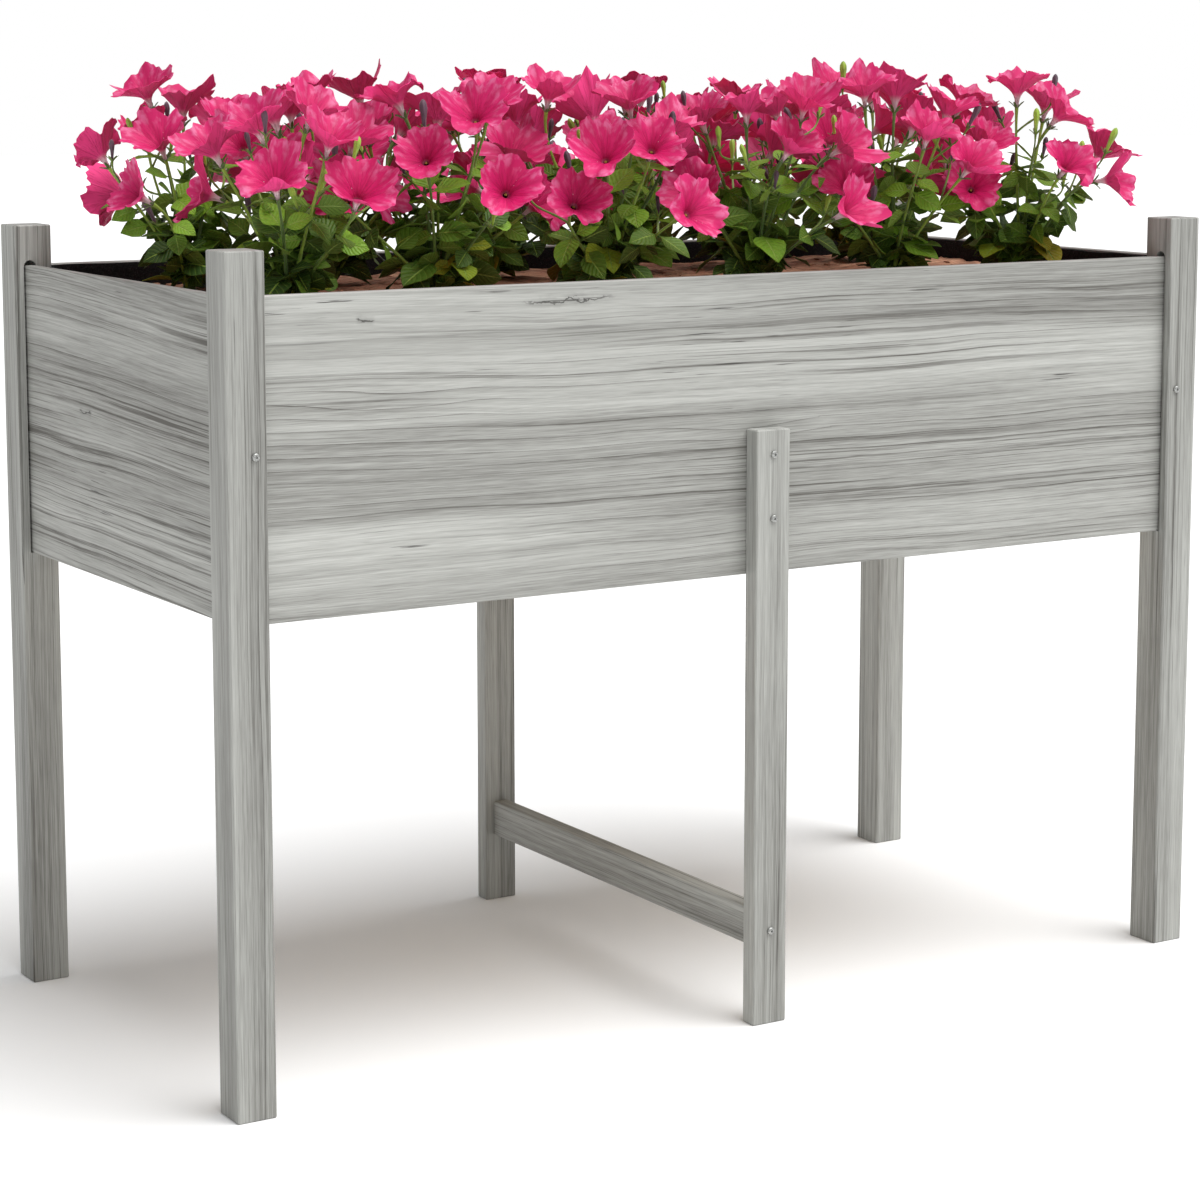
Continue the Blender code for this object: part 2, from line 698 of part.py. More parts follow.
def leaf_balls(leaf):
    """Balls over a leaf's blade."""
    half = LEAF_WIDTH_SHARE * leaf.length / 2
    inner = [(0.25, 0.0), (0.42, -0.6), (0.42, 0.0), (0.42, 0.6), (0.68, -0.5), (0.68, 0.0), (0.68, 0.5)]
    outline = [(0.2, -0.5), (0.2, 0.5), (LEAF_WIDEST, -0.95), (LEAF_WIDEST, 0.95), (0.97, 0.0)]
    return ([(leaf_point(leaf, share, wide * half), 0.0048) for share, wide in inner]
            + [(leaf_point(leaf, share, wide * half), 0.0020) for share, wide in outline])


def bud_balls(bud):
    """Balls along a bud and the outer end of its stalk."""
    stalk = [bud.root.lerp(bud.base, share) for share in (0.4, 0.7, 1.0)]
    body = [bud.base.lerp(bud.tip, share) for share in (0.25, 0.5, 0.75, 1.0)]
    return [(point, 0.002) for point in stalk] + [(point, 0.0037) for point in body]


def cubic(start, first, second, end, share):
    """A point of a cubic curve by its four control points."""
    back = 1 - share
    return (start * back ** 3 + first * (3 * back * back * share)
            + second * (3 * back * share * share) + end * share ** 3)


def draw_bloom(rng, crown, order, phase):
    """One try at a flower: lower and facing further out the further it stands from the crown."""
    share = math.sqrt((order + rng.uniform(0.15, 0.95)) / BLOOMS_PER_PLANT)
    angle = phase + order * GOLDEN_ANGLE + rng.uniform(-ANGLE_SCATTER, ANGLE_SCATTER)
    reach = PLANT_REACH * share
    drop = (BLOOM_HIGH - BLOOM_LOW) * share ** BLOOM_DOME
    height = BLOOM_HIGH - drop + rng.uniform(-HEIGHT_SCATTER, HEIGHT_SCATTER)
    limb = Vector((crown.x, crown.y, height)) + level_direction(angle) * reach
    outwards = Vector((FACING_ENDS * crown.x / HALF_X, FACING_FRONT if crown.y < 0 else FACING_BACK, 0.0))
    scatter = level_direction(rng.uniform(0, 2 * math.pi)) * FACING_SCATTER
    heading = (level_direction(angle) * share + outwards * share + scatter).normalized()
    least, most = LEAN_DEGREES
    lean = math.radians(least + (most - least) * share ** 2 + rng.uniform(-LEAN_SCATTER, LEAN_SCATTER))
    axis = (heading * math.sin(lean) + Vector((0, 0, math.cos(lean)))).normalized()
    size = rng.uniform(*BLOOM_SIZES)
    base = limb - axis * (RIM_HEIGHT * size)
    root = crown + level_direction(angle) * (0.62 * CROWN_RADIUS * share) + Vector((0, 0, CROWN_COLLAR))
    rise = base - root
    first = root + Vector((0.30 * rise.x, 0.30 * rise.y, 0.45 * rise.z))
    second = base - axis * (0.26 * rise.length)
    shares = [0.0] + [rng.uniform(*span) for span in NODE_SHARES] + [1.0]
    stem = tuple(cubic(root, first, second, base, step) for step in shares)
    across = Vector((0, 0, 1)) if abs(axis.z) < 0.8 else level_direction(rng.uniform(0, 2 * math.pi))
    side = (across - axis * across.dot(axis)).normalized()
    side.rotate(Matrix.Rotation(rng.uniform(-0.6, 0.6), 3, axis))
    lobes = tuple((rng.uniform(-LOBE_SPREAD, LOBE_SPREAD), rng.uniform(*LOBE_LIFT)) for _ in range(LOBES))
    return Bloom(stem, axis, side, size, lobes)


def draw_leaf(rng, place, frame):
    """One try at a leaf that grows from a face of a stem or crown, its upper side towards the tip."""
    root, _, _, heading = frame
    out = face_direction(frame, place)
    across = heading.cross(out)
    rise = rng.uniform(*(CROWN_LEAF_RISE if place[0] == CROWN_STEM else STEM_LEAF_RISE))
    along = (out + heading * rise + across * rng.uniform(-LEAF_SIDEWAYS, LEAF_SIDEWAYS)).normalized()
    upper = heading + across * rng.uniform(-LEAF_ROLL, LEAF_ROLL)
    normal = (upper - along * upper.dot(along)).normalized()
    length = rng.uniform(*LEAF_LENGTH) * (UPPER_LEAF_SIZE if place[1] else LOWER_LEAF_SIZE)
    return Leaf(place, root, along, normal, length, rng.uniform(*LEAF_DROOP))


def draw_bud(rng, place, frame):
    """One try at a bud on a stalk that turns upwards."""
    root, _, _, heading = frame
    out = face_direction(frame, place)
    stalk = (heading * 0.3 + out + Vector((0, 0, 0.3))).normalized()
    base = root + stalk * rng.uniform(*BUD_STALK)
    upright = (stalk * 0.3 + out * rng.uniform(0.0, 0.2) + Vector((0, 0, 1.0))).normalized()
    return Bud(place, root, base, base + upright * BUD_LENGTH * rng.uniform(*BUD_SIZES))


def plant_crowns(rng):
    """Where the plants stand: two rows, each place shifted a little."""
    crowns = []
    for row_y in ROW_Y:
        for index in range(PLANTS_PER_ROW):
            x = (index - (PLANTS_PER_ROW - 1) / 2) * PLANT_SPACING + rng.uniform(-PLANT_JITTER, PLANT_JITTER)
            y = row_y + rng.uniform(-PLANT_JITTER, PLANT_JITTER)
            crowns.append(Vector((x, y, SOIL_TOP)))
    return crowns


def grow_plants():
    """Draw every flower, then every leaf and bud, each kept only where it has room."""
    rng = random.Random(SEED)
    thicket = Thicket()
    plants = [Plant(crown) for crown in plant_crowns(rng)]
    phases = [rng.uniform(0, 2 * math.pi) for _ in plants]
    for order in range(BLOOMS_PER_PLANT):
        for index, plant in enumerate(plants):
            for _ in range(BLOOM_TRIES):
                bloom = draw_bloom(rng, plant.crown, order, phases[index])
                number = len(plant.blooms)
                if not thicket.has_room(stem_balls(bloom.stem) + bloom_balls(bloom), index, number):
                    continue
                plant.blooms.append(bloom)
                if is_sound(plant, number):
                    thicket.add(stem_balls(bloom.stem), index, number)
                    thicket.add(bloom_balls(bloom), index, NO_STEM)
                    break
                plant.blooms.pop()
    for index, plant in enumerate(plants):
        for face in range(CROWN_SIDES):
            grow_one(rng, thicket, plant, index, (CROWN_STEM, 0, face), crown_frame(plant), False)
        for number, bloom in enumerate(plant.blooms):
            grow_nodes(rng, thicket, plant, index, number, stem_frames(bloom))
    return plants


def crown_frame(plant):
    """The frame from which a plant's crown grows its leaves: the middle of its part above the soil."""
    middle = (CROWN_COLLAR + CROWN_RISE) / 2
    return plant.crown + Vector((0, 0, middle)), Vector((1, 0, 0)), Vector((0, 1, 0)), Vector((0, 0, 1))


def grow_nodes(rng, thicket, plant, index, number, frames):
    """Leaves, and now and then a bud, from the faces of a stem's two nodes."""
    for node, frame in enumerate(frames[1:-1]):
        first_face = rng.randrange(STEM_SIDES)
        wanted = 1 if node == 0 and number % 2 else 2
        has_bud = node == 1 and number % BUD_EVERY == 1
        kept = 0
        for turn in range(STEM_SIDES):
            if kept == wanted:
                break
            place = (number, node, (first_face + turn) % STEM_SIDES)
            as_bud = has_bud and kept == 0
            kept += grow_one(rng, thicket, plant, index, place, frame, as_bud)


def grow_one(rng, thicket, plant, index, place, frame, as_bud):
    """Try a leaf or bud at one face; gives 1 if it found room."""
    draw, balls_of, tries, kept = draw_leaf, leaf_balls, LEAF_TRIES, plant.leaves
    if as_bud:
        draw, balls_of, tries, kept = draw_bud, bud_balls, BUD_TRIES, plant.buds
    for _ in range(tries):
        grown = draw(rng, place, frame)
        if not thicket.has_room(balls_of(grown), index, place[0], grown.root):
            continue
        kept.append(grown)
        if is_sound(plant, place[0]):
            thicket.add(balls_of(grown), index, NO_STEM)
            return 1
        kept.pop()
    return 0


def is_sound(plant, number):
    """Whether the solid of one stem, or of the crown, keeps clear of itself."""
    bm = crown_solid(plant) if number == CROWN_STEM else stem_solid(plant, number)
    bmesh.ops.triangulate(bm, faces=bm.faces[:])
    bm.faces.ensure_lookup_table()
    tree = BVHTree.FromBMesh(bm)
    crossings = [(a, b) for a, b in tree.overlap(tree)
                 if a < b and not set(bm.faces[a].verts) & set(bm.faces[b].verts)]
    bm.free()
    return not crossings


def bloom_rings(bloom, frames):
    """Rings over a flower, from its calyx out to the rim, with five lobes, and in to the throat."""
    base, across, up, axis = frames[-1]
    scale = bloom.size
    rings = [ring(base + axis * THROAT_LENGTH * scale, across, up, THROAT_RADIUS * scale, LOBES)]
    rim = []
    for step in range(2 * LOBES):
        angle = math.pi * step / LOBES
        spread, lift = bloom.lobes[step // 2]
        is_tip = step % 2 == 0
        radius = RIM_RADIUS * (1 + spread) if is_tip else NOTCH_RADIUS
        height = RIM_HEIGHT + lift if is_tip else NOTCH_HEIGHT
        outwards = across * math.cos(angle) + up * math.sin(angle)
        rim.append(base + axis * height * scale + outwards * radius * scale)
    rings.append(rim)
    rings.append([base + axis * THROAT_FLOOR * scale])
    return rings


def stem_rings(frames):
    """Rings up a stem, with a pair of rings round each node, and the index of each node's first ring."""
    rings, nodes = [], []
    for step, (point, across, up, heading) in enumerate(frames):
        share = step / (len(frames) - 1)
        radius = STEM_RADIUS + (STEM_TIP_RADIUS - STEM_RADIUS) * share
        if step == len(frames) - 1:
            radius = CALYX_RADIUS
        if 0 < step < len(frames) - 1:
            nodes.append(len(rings))
            shift = heading * (NODE_LENGTH / 2)
            rings.append(ring(point - shift, across, up, radius, STEM_SIDES))
            rings.append(ring(point + shift, across, up, radius, STEM_SIDES))
        else:
            rings.append(ring(point, across, up, radius, STEM_SIDES))
    return rings, nodes


def leaf_rings(leaf):
    """Rings along a leaf's blade, which has a low ridge and comes to a point, and the way each one faces."""
    half = LEAF_WIDTH_SHARE * leaf.length / 2
    middle = [leaf_point(leaf, LEAF_WIDEST, -half), leaf_point(leaf, LEAF_WIDEST, half),
              leaf_point(leaf, LEAF_WIDEST, 0.0, LEAF_RIDGE)]
    return [middle, [leaf_point(leaf, 1.0, 0.0)]], [leaf.along, leaf.along]


def bud_rings(bud):
    """Rings along a bud's furled club, from its stalk's end, and the way each one faces."""
    heading = (bud.tip - bud.base).normalized()
    side = (Vector((1, 0, 0)) - heading * heading.x).normalized()
    rings = [ring(bud.base.lerp(bud.tip, share), side, heading.cross(side), wide * BUD_RADIUS, STEM_SIDES)
             for share, wide in ((0.0, 0.6), (0.72, 1.0))]
    stalk = (bud.base - bud.root).normalized()
    return rings + [[bud.tip]], [stalk, heading, heading]


def growth_from(plant, number):
    """The rings of all that grows from one stem, or from the crown, by the face that it grows from."""
    growth = {leaf.place: leaf_rings(leaf) for leaf in plant.leaves if leaf.place[0] == number}
    growth.update({bud.place: bud_rings(bud) for bud in plant.buds if bud.place[0] == number})
    return growth


def join_node(bm, lower, upper, places, growth):
    """Join two equal rings round a node, face by face, drawing out the faces from which something grows."""
    count = len(lower)
    for face, place in enumerate(places):
        after = (face + 1) % count
        quad = (lower[face], lower[after], upper[after], upper[face])
        if place in growth:
            sprout(bm, quad, *growth[place])
        else:
            bm.faces.new(quad)


def stem_solid(plant, number):
    """One stem as one solid, with its flower at the end and its leaves and buds drawn out of its faces."""
    bloom = plant.blooms[number]
    frames = stem_frames(bloom)
    rings, nodes = stem_rings(frames)
    growth = growth_from(plant, number)
    bm = bmesh.new()
    petal_start = len(rings) - 1
    loops = [[bm.verts.new(point) for point in points] for points in rings + bloom_rings(bloom, frames)]
    bm.faces.new(loops[0])
    for index, (lower, upper) in enumerate(zip(loops, loops[1:])):
        if index in nodes:
            places = [(number, nodes.index(index), face) for face in range(STEM_SIDES)]
            join_node(bm, lower, upper, places, growth)
            continue
        for face in zip_rings(bm, lower, upper):
            face.material_index = int(index >= petal_start)
    return bm


def crown_solid(plant):
    """A plant's crown, from the foot of its hole to just above the soil, with its lowest leaves."""
    side, up = Vector((1, 0, 0)), Vector((0, 1, 0))
    profile = ((FIT_GAP - CROWN_DEPTH, 0.8), (CROWN_COLLAR, 1.0), (CROWN_RISE, 0.7))
    bm = bmesh.new()
    loops = [[bm.verts.new(point) for point in ring(plant.crown + Vector((0, 0, height)), side, up,
                                                    share * CROWN_RADIUS, CROWN_SIDES)]
             for height, share in profile]
    bm.faces.new(loops[0])
    zip_rings(bm, loops[0], loops[1])
    places = [(CROWN_STEM, 0, face) for face in range(CROWN_SIDES)]
    join_node(bm, loops[1], loops[2], places, growth_from(plant, CROWN_STEM))
    bm.faces.new(loops[2])
    return bm


def build_plant(name, plant):
    """One petunia as one solid: its stems stand sunk in the crown and are joined to it."""
    finishes = (LEAF_GREEN, PETAL_PINK)
    crown = add_object(name, crown_solid(plant), finishes)
    stems = [add_object("stem", stem_solid(plant, number), finishes) for number in range(len(plant.blooms))]
    boolean(crown, stems, "UNION", "MANIFOLD")


def build_box():
    """All the wooden pieces and their screws."""
    screws = all_screws()
    for screw in screws:
        build_screw(screw)
    by_name = {screw.name: screw for screw in screws}
    for side, sign_y in (("front", -1), ("back", 1)):
        corner = []
        for end, sign_x in (("left", -1), ("right", 1)):
            screw = by_name[f"screw_{side}_{end}"]
            corner.append(screw)
            build_corner_leg(f"leg_{side}_{end}", sign_x, sign_y, screw)
        centre = [by_name[f"screw_{side}_centre_{level}"] for level in ("upper", "lower")]
        stretcher = by_name[f"screw_{side}_stretcher"]
        build_centre_leg(f"leg_{side}_centre", sign_y, centre + [stretcher])
        build_long_board(f"board_{side}", sign_y, corner + centre)
        build_cleat(f"cleat_{side}", sign_y)
    build_end_board("board_left", -1)
    build_end_board("board_right", 1)
    build_stretcher([by_name["screw_front_stretcher"], by_name["screw_back_stretcher"]])
    build_floor()


def main():
    """Clear the scene and build the planter."""
    for old in list(bpy.data.objects):
        bpy.data.objects.remove(old)
    build_box()
    build_liner()
    plants = grow_plants()
    build_soil([plant.crown for plant in plants])
    for index, plant in enumerate(plants):
        build_plant(f"petunia_{index + 1:02d}", plant)


main()
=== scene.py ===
"""Looks of the planted raised bed: stained wood, felt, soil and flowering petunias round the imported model.

The wooden pieces stay as they are packed and get their finish here. The screws, the felt liner, the soil and
the petunias are replaced by finer pieces in the same places. Each petunia's flowers, leaves and buds are read
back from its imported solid, so the fine ones stand where the plain ones do. Units are metres, +Z is up and the
long front looks along -Y.
"""

import logging
import math
import random
from collections.abc import Callable, Iterable, Iterator
from contextlib import contextmanager
from dataclasses import dataclass, field, fields
from enum import Enum

import bmesh
import bpy
import numpy as np
from mathutils import Matrix, Vector


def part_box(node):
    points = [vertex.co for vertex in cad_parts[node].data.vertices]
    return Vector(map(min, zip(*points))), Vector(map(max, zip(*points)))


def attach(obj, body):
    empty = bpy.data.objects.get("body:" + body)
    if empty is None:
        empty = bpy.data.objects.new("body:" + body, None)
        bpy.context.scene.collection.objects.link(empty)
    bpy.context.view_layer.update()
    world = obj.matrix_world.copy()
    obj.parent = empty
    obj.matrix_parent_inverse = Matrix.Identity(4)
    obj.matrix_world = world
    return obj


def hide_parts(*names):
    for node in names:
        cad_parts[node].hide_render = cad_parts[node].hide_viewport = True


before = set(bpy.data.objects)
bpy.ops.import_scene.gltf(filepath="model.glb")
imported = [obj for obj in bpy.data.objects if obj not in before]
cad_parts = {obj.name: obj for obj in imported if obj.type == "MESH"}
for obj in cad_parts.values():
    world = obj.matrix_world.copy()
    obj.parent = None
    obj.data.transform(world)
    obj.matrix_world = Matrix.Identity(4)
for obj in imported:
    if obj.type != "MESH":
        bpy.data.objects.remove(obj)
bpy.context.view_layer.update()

log = logging.getLogger("planted_bed")

Socket = bpy.types.NodeSocket
Colour = tuple[float, float, float, float]
Pair = tuple[float, float]
Triple = tuple[float, float, float]
Values = dict[str, object]

TURN = 2 * math.pi
UP = Vector((0.0, 0.0, 1.0))
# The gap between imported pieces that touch
GAP = 0.0003


def srgb(red: int, green: int, blue: int) -> Colour:
    """The linear colour, with an alpha of 1, of an eight-bit screen colour."""
    shares = (channel / 255 for channel in (red, green, blue))
    return (*(s / 12.92 if s <= 0.04045 else ((s + 0.055) / 1.055) ** 2.4 for s in shares), 1.0)


# The modelling bench: pieces started from a primitive and shaped in edit mode

def clear_selection() -> None:
    """Deselect every object."""
    bpy.ops.object.select_all(action="DESELECT")


def start_piece(name: str, add: Callable, **sizes: object) -> bpy.types.Object:
    """Add a primitive and name it.

    Args:
        name: The new piece's name.
        add: The operator that adds the primitive.
        sizes: Its sizes and place.

    Returns:
        The new object.
    """
    clear_selection()
    add(calc_uvs=False, **sizes)
    piece = bpy.context.object
    piece.name = name
    return piece


@contextmanager
def editing(piece: bpy.types.Object, mode: str = "VERT") -> Iterator[None]:
    """Open a piece alone in edit mode, with one kind of selection.

    Args:
        piece: The piece to edit.
        mode: VERT, EDGE or FACE.
    """
    clear_selection()
    piece.select_set(True)
    bpy.context.view_layer.objects.active = piece
    bpy.ops.object.mode_set(mode="EDIT")
    bpy.ops.mesh.select_mode(type=mode)
    yield
    bpy.ops.object.mode_set(mode="OBJECT")


def pick(piece: bpy.types.Object, kind: str, test: Callable[[object], bool]) -> None:
    """Select exactly the parts of a piece in edit mode that pass a test.

    Args:
        piece: The piece being edited.
        kind: verts, edges or faces.
        test: Whether a part is wanted, from its bmesh element.
    """
    bpy.ops.mesh.select_all(action="DESELECT")
    shape = bmesh.from_edit_mesh(piece.data)
    for part in getattr(shape, kind):
        if test(part):
            part.select_set(True)
    shape.select_flush_mode()
    bmesh.update_edit_mesh(piece.data)


def is_rim(edge: bmesh.types.BMEdge) -> bool:
    """Whether an edge bounds an open piece."""
    return edge.is_boundary


def drawn_ring(name: str, profile: Iterable[Pair], sides: int, filled: bool = False) -> bpy.types.Object:
    """Start a level circle and draw it up a profile, one extrusion and one resize at a time.

    Args:
        name: The new piece's name.
        profile: Radius and height of each ring.
        sides: Vertices round a ring.
        filled: Whether the circle is a face, which leaves the piece closed.

    Returns:
        The new object.
    """
    steps = list(profile)
    radius, height = steps[0]
    piece = start_piece(name, bpy.ops.mesh.primitive_circle_add, vertices=sides, radius=radius,
                        location=(0.0, 0.0, height), fill_type="NGON" if filled else "NOTHING")
    bpy.ops.object.transform_apply(location=True, rotation=True, scale=True)
    with editing(piece, "FACE" if filled else "VERT"):
        bpy.ops.mesh.select_all(action="SELECT")
        for (radius, height), (next_radius, next_height) in zip(steps, steps[1:]):
            bpy.ops.mesh.extrude_region_move(TRANSFORM_OT_translate={"value": (0, 0, next_height - height)})
            widen = next_radius / radius
            bpy.ops.transform.resize(value=(widen, widen, 1.0), center_override=(0.0, 0.0, next_height))
    return piece


def turn_outwards(piece: bpy.types.Object) -> None:
    """Turn a piece's faces all one way, which is outwards for a closed piece.

    Args:
        piece: The piece.
    """
    with editing(piece, "FACE"):
        bpy.ops.mesh.select_all(action="SELECT")
        bpy.ops.mesh.normals_make_consistent(inside=False)


def close_ends(piece: bpy.types.Object) -> None:
    """Fill the open rings at a piece's two ends.

    Args:
        piece: The piece.
    """
    with editing(piece, "EDGE"):
        pick(piece, "edges", is_rim)
        bpy.ops.mesh.edge_face_add()
    turn_outwards(piece)


def turn_down(piece: bpy.types.Object, rank: Callable[[Vector], float]) -> None:
    """Turn an open piece's faces one way, so that its highest ranked face looks down.

    Args:
        piece: The piece.
        rank: A face's rank by its centre.
    """
    turn_outwards(piece)
    with editing(piece, "FACE"):
        bpy.ops.mesh.select_all(action="SELECT")
        shape = bmesh.from_edit_mesh(piece.data)
        first = max(shape.faces, key=lambda face: rank(face.calc_center_median()))
        if first.normal.z > 0:
            bpy.ops.mesh.flip_normals()


def add_modifier(piece: bpy.types.Object, kind: str, **settings: object) -> None:
    """Put a modifier on a piece and apply it.

    Args:
        piece: The piece.
        kind: The modifier's type.
        settings: Its values.
    """
    modifier = piece.modifiers.new(kind.lower(), kind)
    for name, value in settings.items():
        setattr(modifier, name, value)
    bpy.context.view_layer.objects.active = piece
    bpy.ops.object.modifier_apply(modifier=modifier.name)


def smooth(piece: bpy.types.Object, degrees: float = 60.0) -> None:
    """Shade a piece smooth, with sharp creases kept.

    Args:
        piece: The piece.
        degrees: The angle over which a crease is sharp.
    """
    clear_selection()
    piece.select_set(True)
    bpy.context.view_layer.objects.active = piece
    bpy.ops.object.shade_smooth_by_angle(angle=math.radians(degrees))


def points_of(piece: bpy.types.Object) -> np.ndarray:
    """The places of a mesh's vertices.

    Args:
        piece: The piece that has the mesh.

    Returns:
        The places, one row each.
    """
    flat = np.empty(len(piece.data.vertices) * 3)
    piece.data.vertices.foreach_get("co", flat)
    return flat.reshape(-1, 3)


def move_points(piece: bpy.types.Object, points: np.ndarray) -> None:
    """Put a mesh's vertices at new places."""
    piece.data.vertices.foreach_set("co", points.ravel())
    piece.data.update()


def polar(points: np.ndarray) -> tuple[np.ndarray, np.ndarray]:
    """Radius and angle of points round +Z."""
    return np.hypot(points[:, 0], points[:, 1]), np.arctan2(points[:, 1], points[:, 0])


def from_polar(radius: np.ndarray, angle: np.ndarray, height: np.ndarray) -> np.ndarray:
    """Points from their radius and angle round +Z and their height."""
    return np.stack([radius * np.cos(angle), radius * np.sin(angle), height], axis=1)


def stood(local: np.ndarray, base: Vector, axis: Vector, side: Vector) -> np.ndarray:
    """A model's points, with its +Z along an axis and its +X to a side."""
    return local @ np.array([side, axis.cross(side), axis]) + np.array(base)


def side_of(heading: Vector) -> Vector:
    """A direction square to a heading that isn't along X, as near to +X as can be."""
    return (Vector((1, 0, 0)) - heading * heading.x).normalized()


def cubic(start: Vector, first: Vector, second: Vector, end: Vector, share: float) -> Vector:
    """The point at a share of the way along a curve from start to end, drawn by two handles."""
    back = 1 - share
    return (start * back ** 3 + first * (3 * back * back * share)
            + second * (3 * back * share * share) + end * share ** 3)


def set_tint(piece: bpy.types.Object, tint: float) -> None:
    """Give every vertex of a piece the same tint, which its material reads."""
    layer = piece.data.attributes.get("tint") or piece.data.attributes.new("tint", "FLOAT", "POINT")
    layer.data.foreach_set("value", [tint] * len(piece.data.vertices))


def copy_of(model: bpy.types.Object, points: np.ndarray, tint: float = 0.0) -> bpy.types.Object:
    """Copy a model with a mesh of its own.

    Args:
        model: The finished model.
        points: Where the copy's vertices go.
        tint: The copy's tint.

    Returns:
        The copy, linked into the scene.
    """
    made = bpy.data.objects.new(model.name, model.data.copy())
    bpy.context.collection.objects.link(made)
    move_points(made, points)
    set_tint(made, tint)
    return made


def join(name: str, copies: list[bpy.types.Object]) -> bpy.types.Object:
    """Join copies into one piece.

    Args:
        name: The piece's name.
        copies: What to join.

    Returns:
        The joined piece.
    """
    clear_selection()
    for part in copies:
        part.select_set(True)
    bpy.context.view_layer.objects.active = copies[0]
    bpy.ops.object.join()
    copies[0].name = name
    return copies[0]


def discard(models: Iterable[bpy.types.Object]) -> None:
    """Remove models that have been copied."""
    for model in models:
        bpy.data.objects.remove(model)


def hand_in(piece: bpy.types.Object, slot: str, *nodes: str) -> None:
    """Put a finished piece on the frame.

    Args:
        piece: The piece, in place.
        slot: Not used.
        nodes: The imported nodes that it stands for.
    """
    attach(piece, "root")
    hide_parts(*nodes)
    log.info("%s: %d faces", piece.name, len(piece.data.polygons))


# Shader wiring

@dataclass(frozen=True)
class Layer:
    """A noise texture.

    Attributes:
        scale: Its scale along each axis.
        detail: Octaves of finer noise.
        rough: Strength of the finer octaves.
        warp: How far it is distorted.
        shift: Where it starts, which sets layers apart.
    """

    scale: Triple
    detail: float = 2.0
    rough: float = 0.5
    warp: float = 0.0
    shift: Triple = (0.0, 0.0, 0.0)


